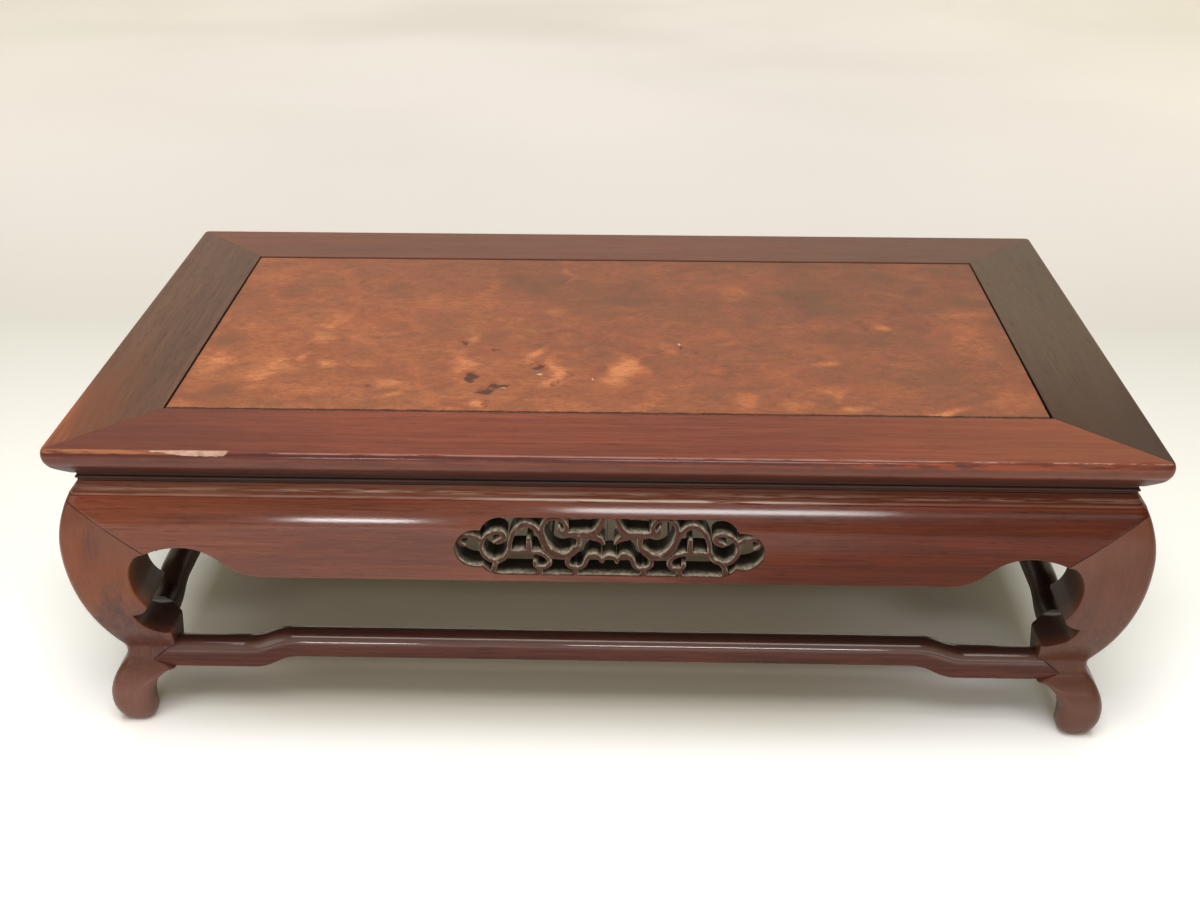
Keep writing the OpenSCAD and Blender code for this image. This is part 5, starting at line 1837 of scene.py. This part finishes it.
# Colour over the distance from 0.5 m in front of the stand to 1.7 m behind it. The tones paint
# the light on the sheet: bright in front, darker under and behind the stand, lighter to the bend
PAPER_START, PAPER_RUN = 500, 2200
PAPER_TONES = [
    (0.0, (0.98, 0.975, 0.985)), (0.165, (0.98, 0.975, 0.985)), (0.22, (0.76, 0.755, 0.735)),
    (0.27, (0.75, 0.74, 0.72)), (0.4, (0.61, 0.59, 0.56)), (0.5, (0.71, 0.67, 0.66)),
    (0.7, (0.865, 0.81, 0.83)), (0.92, (1.07, 1.015, 1.04)),
]
TONES.update({
    "paper patch": (0.6, 0.57, 0.5), "paper side": (1.25, 1.21, 1.16), "paper right": (1.2, 1.15, 0.93),
    "paper below": (0.76, 0.71, 0.58), "paper": (0.82, 0.78, 0.69), "lift": (PAPER_LIFT,) * 3,
})


def paper():
    """White to the camera, but reflecting like paper: both come from one colour."""
    sheet = Finish("paper", 0.95, 0.1)
    patch = sheet.noise(420, (1.5, 1, 1), 3, 0.5, 51).ramp(0.35, 0.75)
    far = sheet.y.ramp(300, 1200)
    distance = (sheet.y + PAPER_START) / PAPER_RUN
    sheet.colour = sheet.add("ShaderNodeValToRGB", {"stops": PAPER_TONES}, {0: distance}).outputs[0]
    sheet.lay(patch * sheet.y.ramp(200, 1500) * 0.3, "paper patch")
    # Painted light: brighter towards the sides and to the right, far back
    sheet.lay(abs(sheet.x).ramp(150, 1200) * far * 0.5, "paper side")
    sheet.lay(sheet.x.ramp(100, 1500) * far * 0.35, "paper right")
    # Painted shadow under the stand, seen by the camera and in reflections
    below = (1 - abs(sheet.x + 30).ramp(110, 240)) * band_of(sheet.y, -125, 200, 45)
    sheet.lay(below, "paper below", "MULTIPLY")
    sheet.lay(1.0, "lift", "MULTIPLY")
    path = sheet.add("ShaderNodeLightPath")
    rays = ("Is Camera Ray", "Is Glossy Ray", "Is Transmission Ray")
    camera_ray, glossy_ray, clear_ray = (Number(sheet.tree, path.outputs[ray]) for ray in rays)
    seen = (camera_ray + glossy_ray + clear_ray).at_most(1)
    skin = sheet.add("ShaderNodeBsdfDiffuse", None, {0: sheet.mix(seen, "paper", sheet.colour)})
    out = sheet.tree.nodes["Material Output"]
    sheet.tree.links.new(skin.outputs[0], out.inputs[0])
    return sheet.material


sweep.data.materials.append(paper())
sweep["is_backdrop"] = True
print("paper tones:", len(PAPER_TONES))


# %% [markdown]
# ## Lamps
# The photograph has one broad light above, which gives the soft shadow below the stand, and
# narrower lights in front, which draw bright lines where a polished edge faces them. So one
# large lamp hangs overhead and a strip hangs high in front. Two low strips and a small lamp
# in front are placed for the bright lines, and a soft lamp fills the left. A faint warm room
# fills the rest.

# %% Lamps
# Name, width and depth in metres, watts, and place; all point at the stand
LAMPS = [
    ("overhead", (1.6, 1.4), 29.5, (0, -0.15, 2.1)),
    ("high_strip", (1.4, 0.42), 8, (0, -1.05, 1.75)),
    ("front_strip", (0.56, 0.12), 7, (0.18, -2.05, 0.62)),
    ("right_strip", (0.9, 0.08), 1.1, (0.95, -1.95, 0.62)),
    ("small_front", (0.2, 0.085), 2.9, (-0.48, -2.1, 0.22)),
    ("left_soft", (1.2, 1.0), 4.5, (-1.5, -1.5, 0.8)),
]
LAMP_AIM = Vector((0, 0, 0.1))
for name, (width, depth), power, at in LAMPS:
    data = bpy.data.lights.new(name, "AREA")
    data.shape, data.size, data.size_y, data.energy = "RECTANGLE", width, depth, power
    light = bpy.data.objects.new(name, data)
    bpy.context.scene.collection.objects.link(light)
    light.location = at
    light.rotation_euler = (LAMP_AIM - Vector(at)).to_track_quat("-Z", "Y").to_euler()
print("lamps:", len(LAMPS))

# %% Room
ROOM_COLOUR, ROOM_STRENGTH = (1, 0.92, 0.45, 1), 0.15
world = bpy.data.worlds.new("room")
bpy.context.scene.world = world
world.use_nodes = True
fill = world.node_tree.nodes["Background"]
fill.inputs["Color"].default_value = ROOM_COLOUR
fill.inputs["Strength"].default_value = ROOM_STRENGTH
print("room fill:", ROOM_STRENGTH)

# %% Sizes of the stand
low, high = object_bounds()
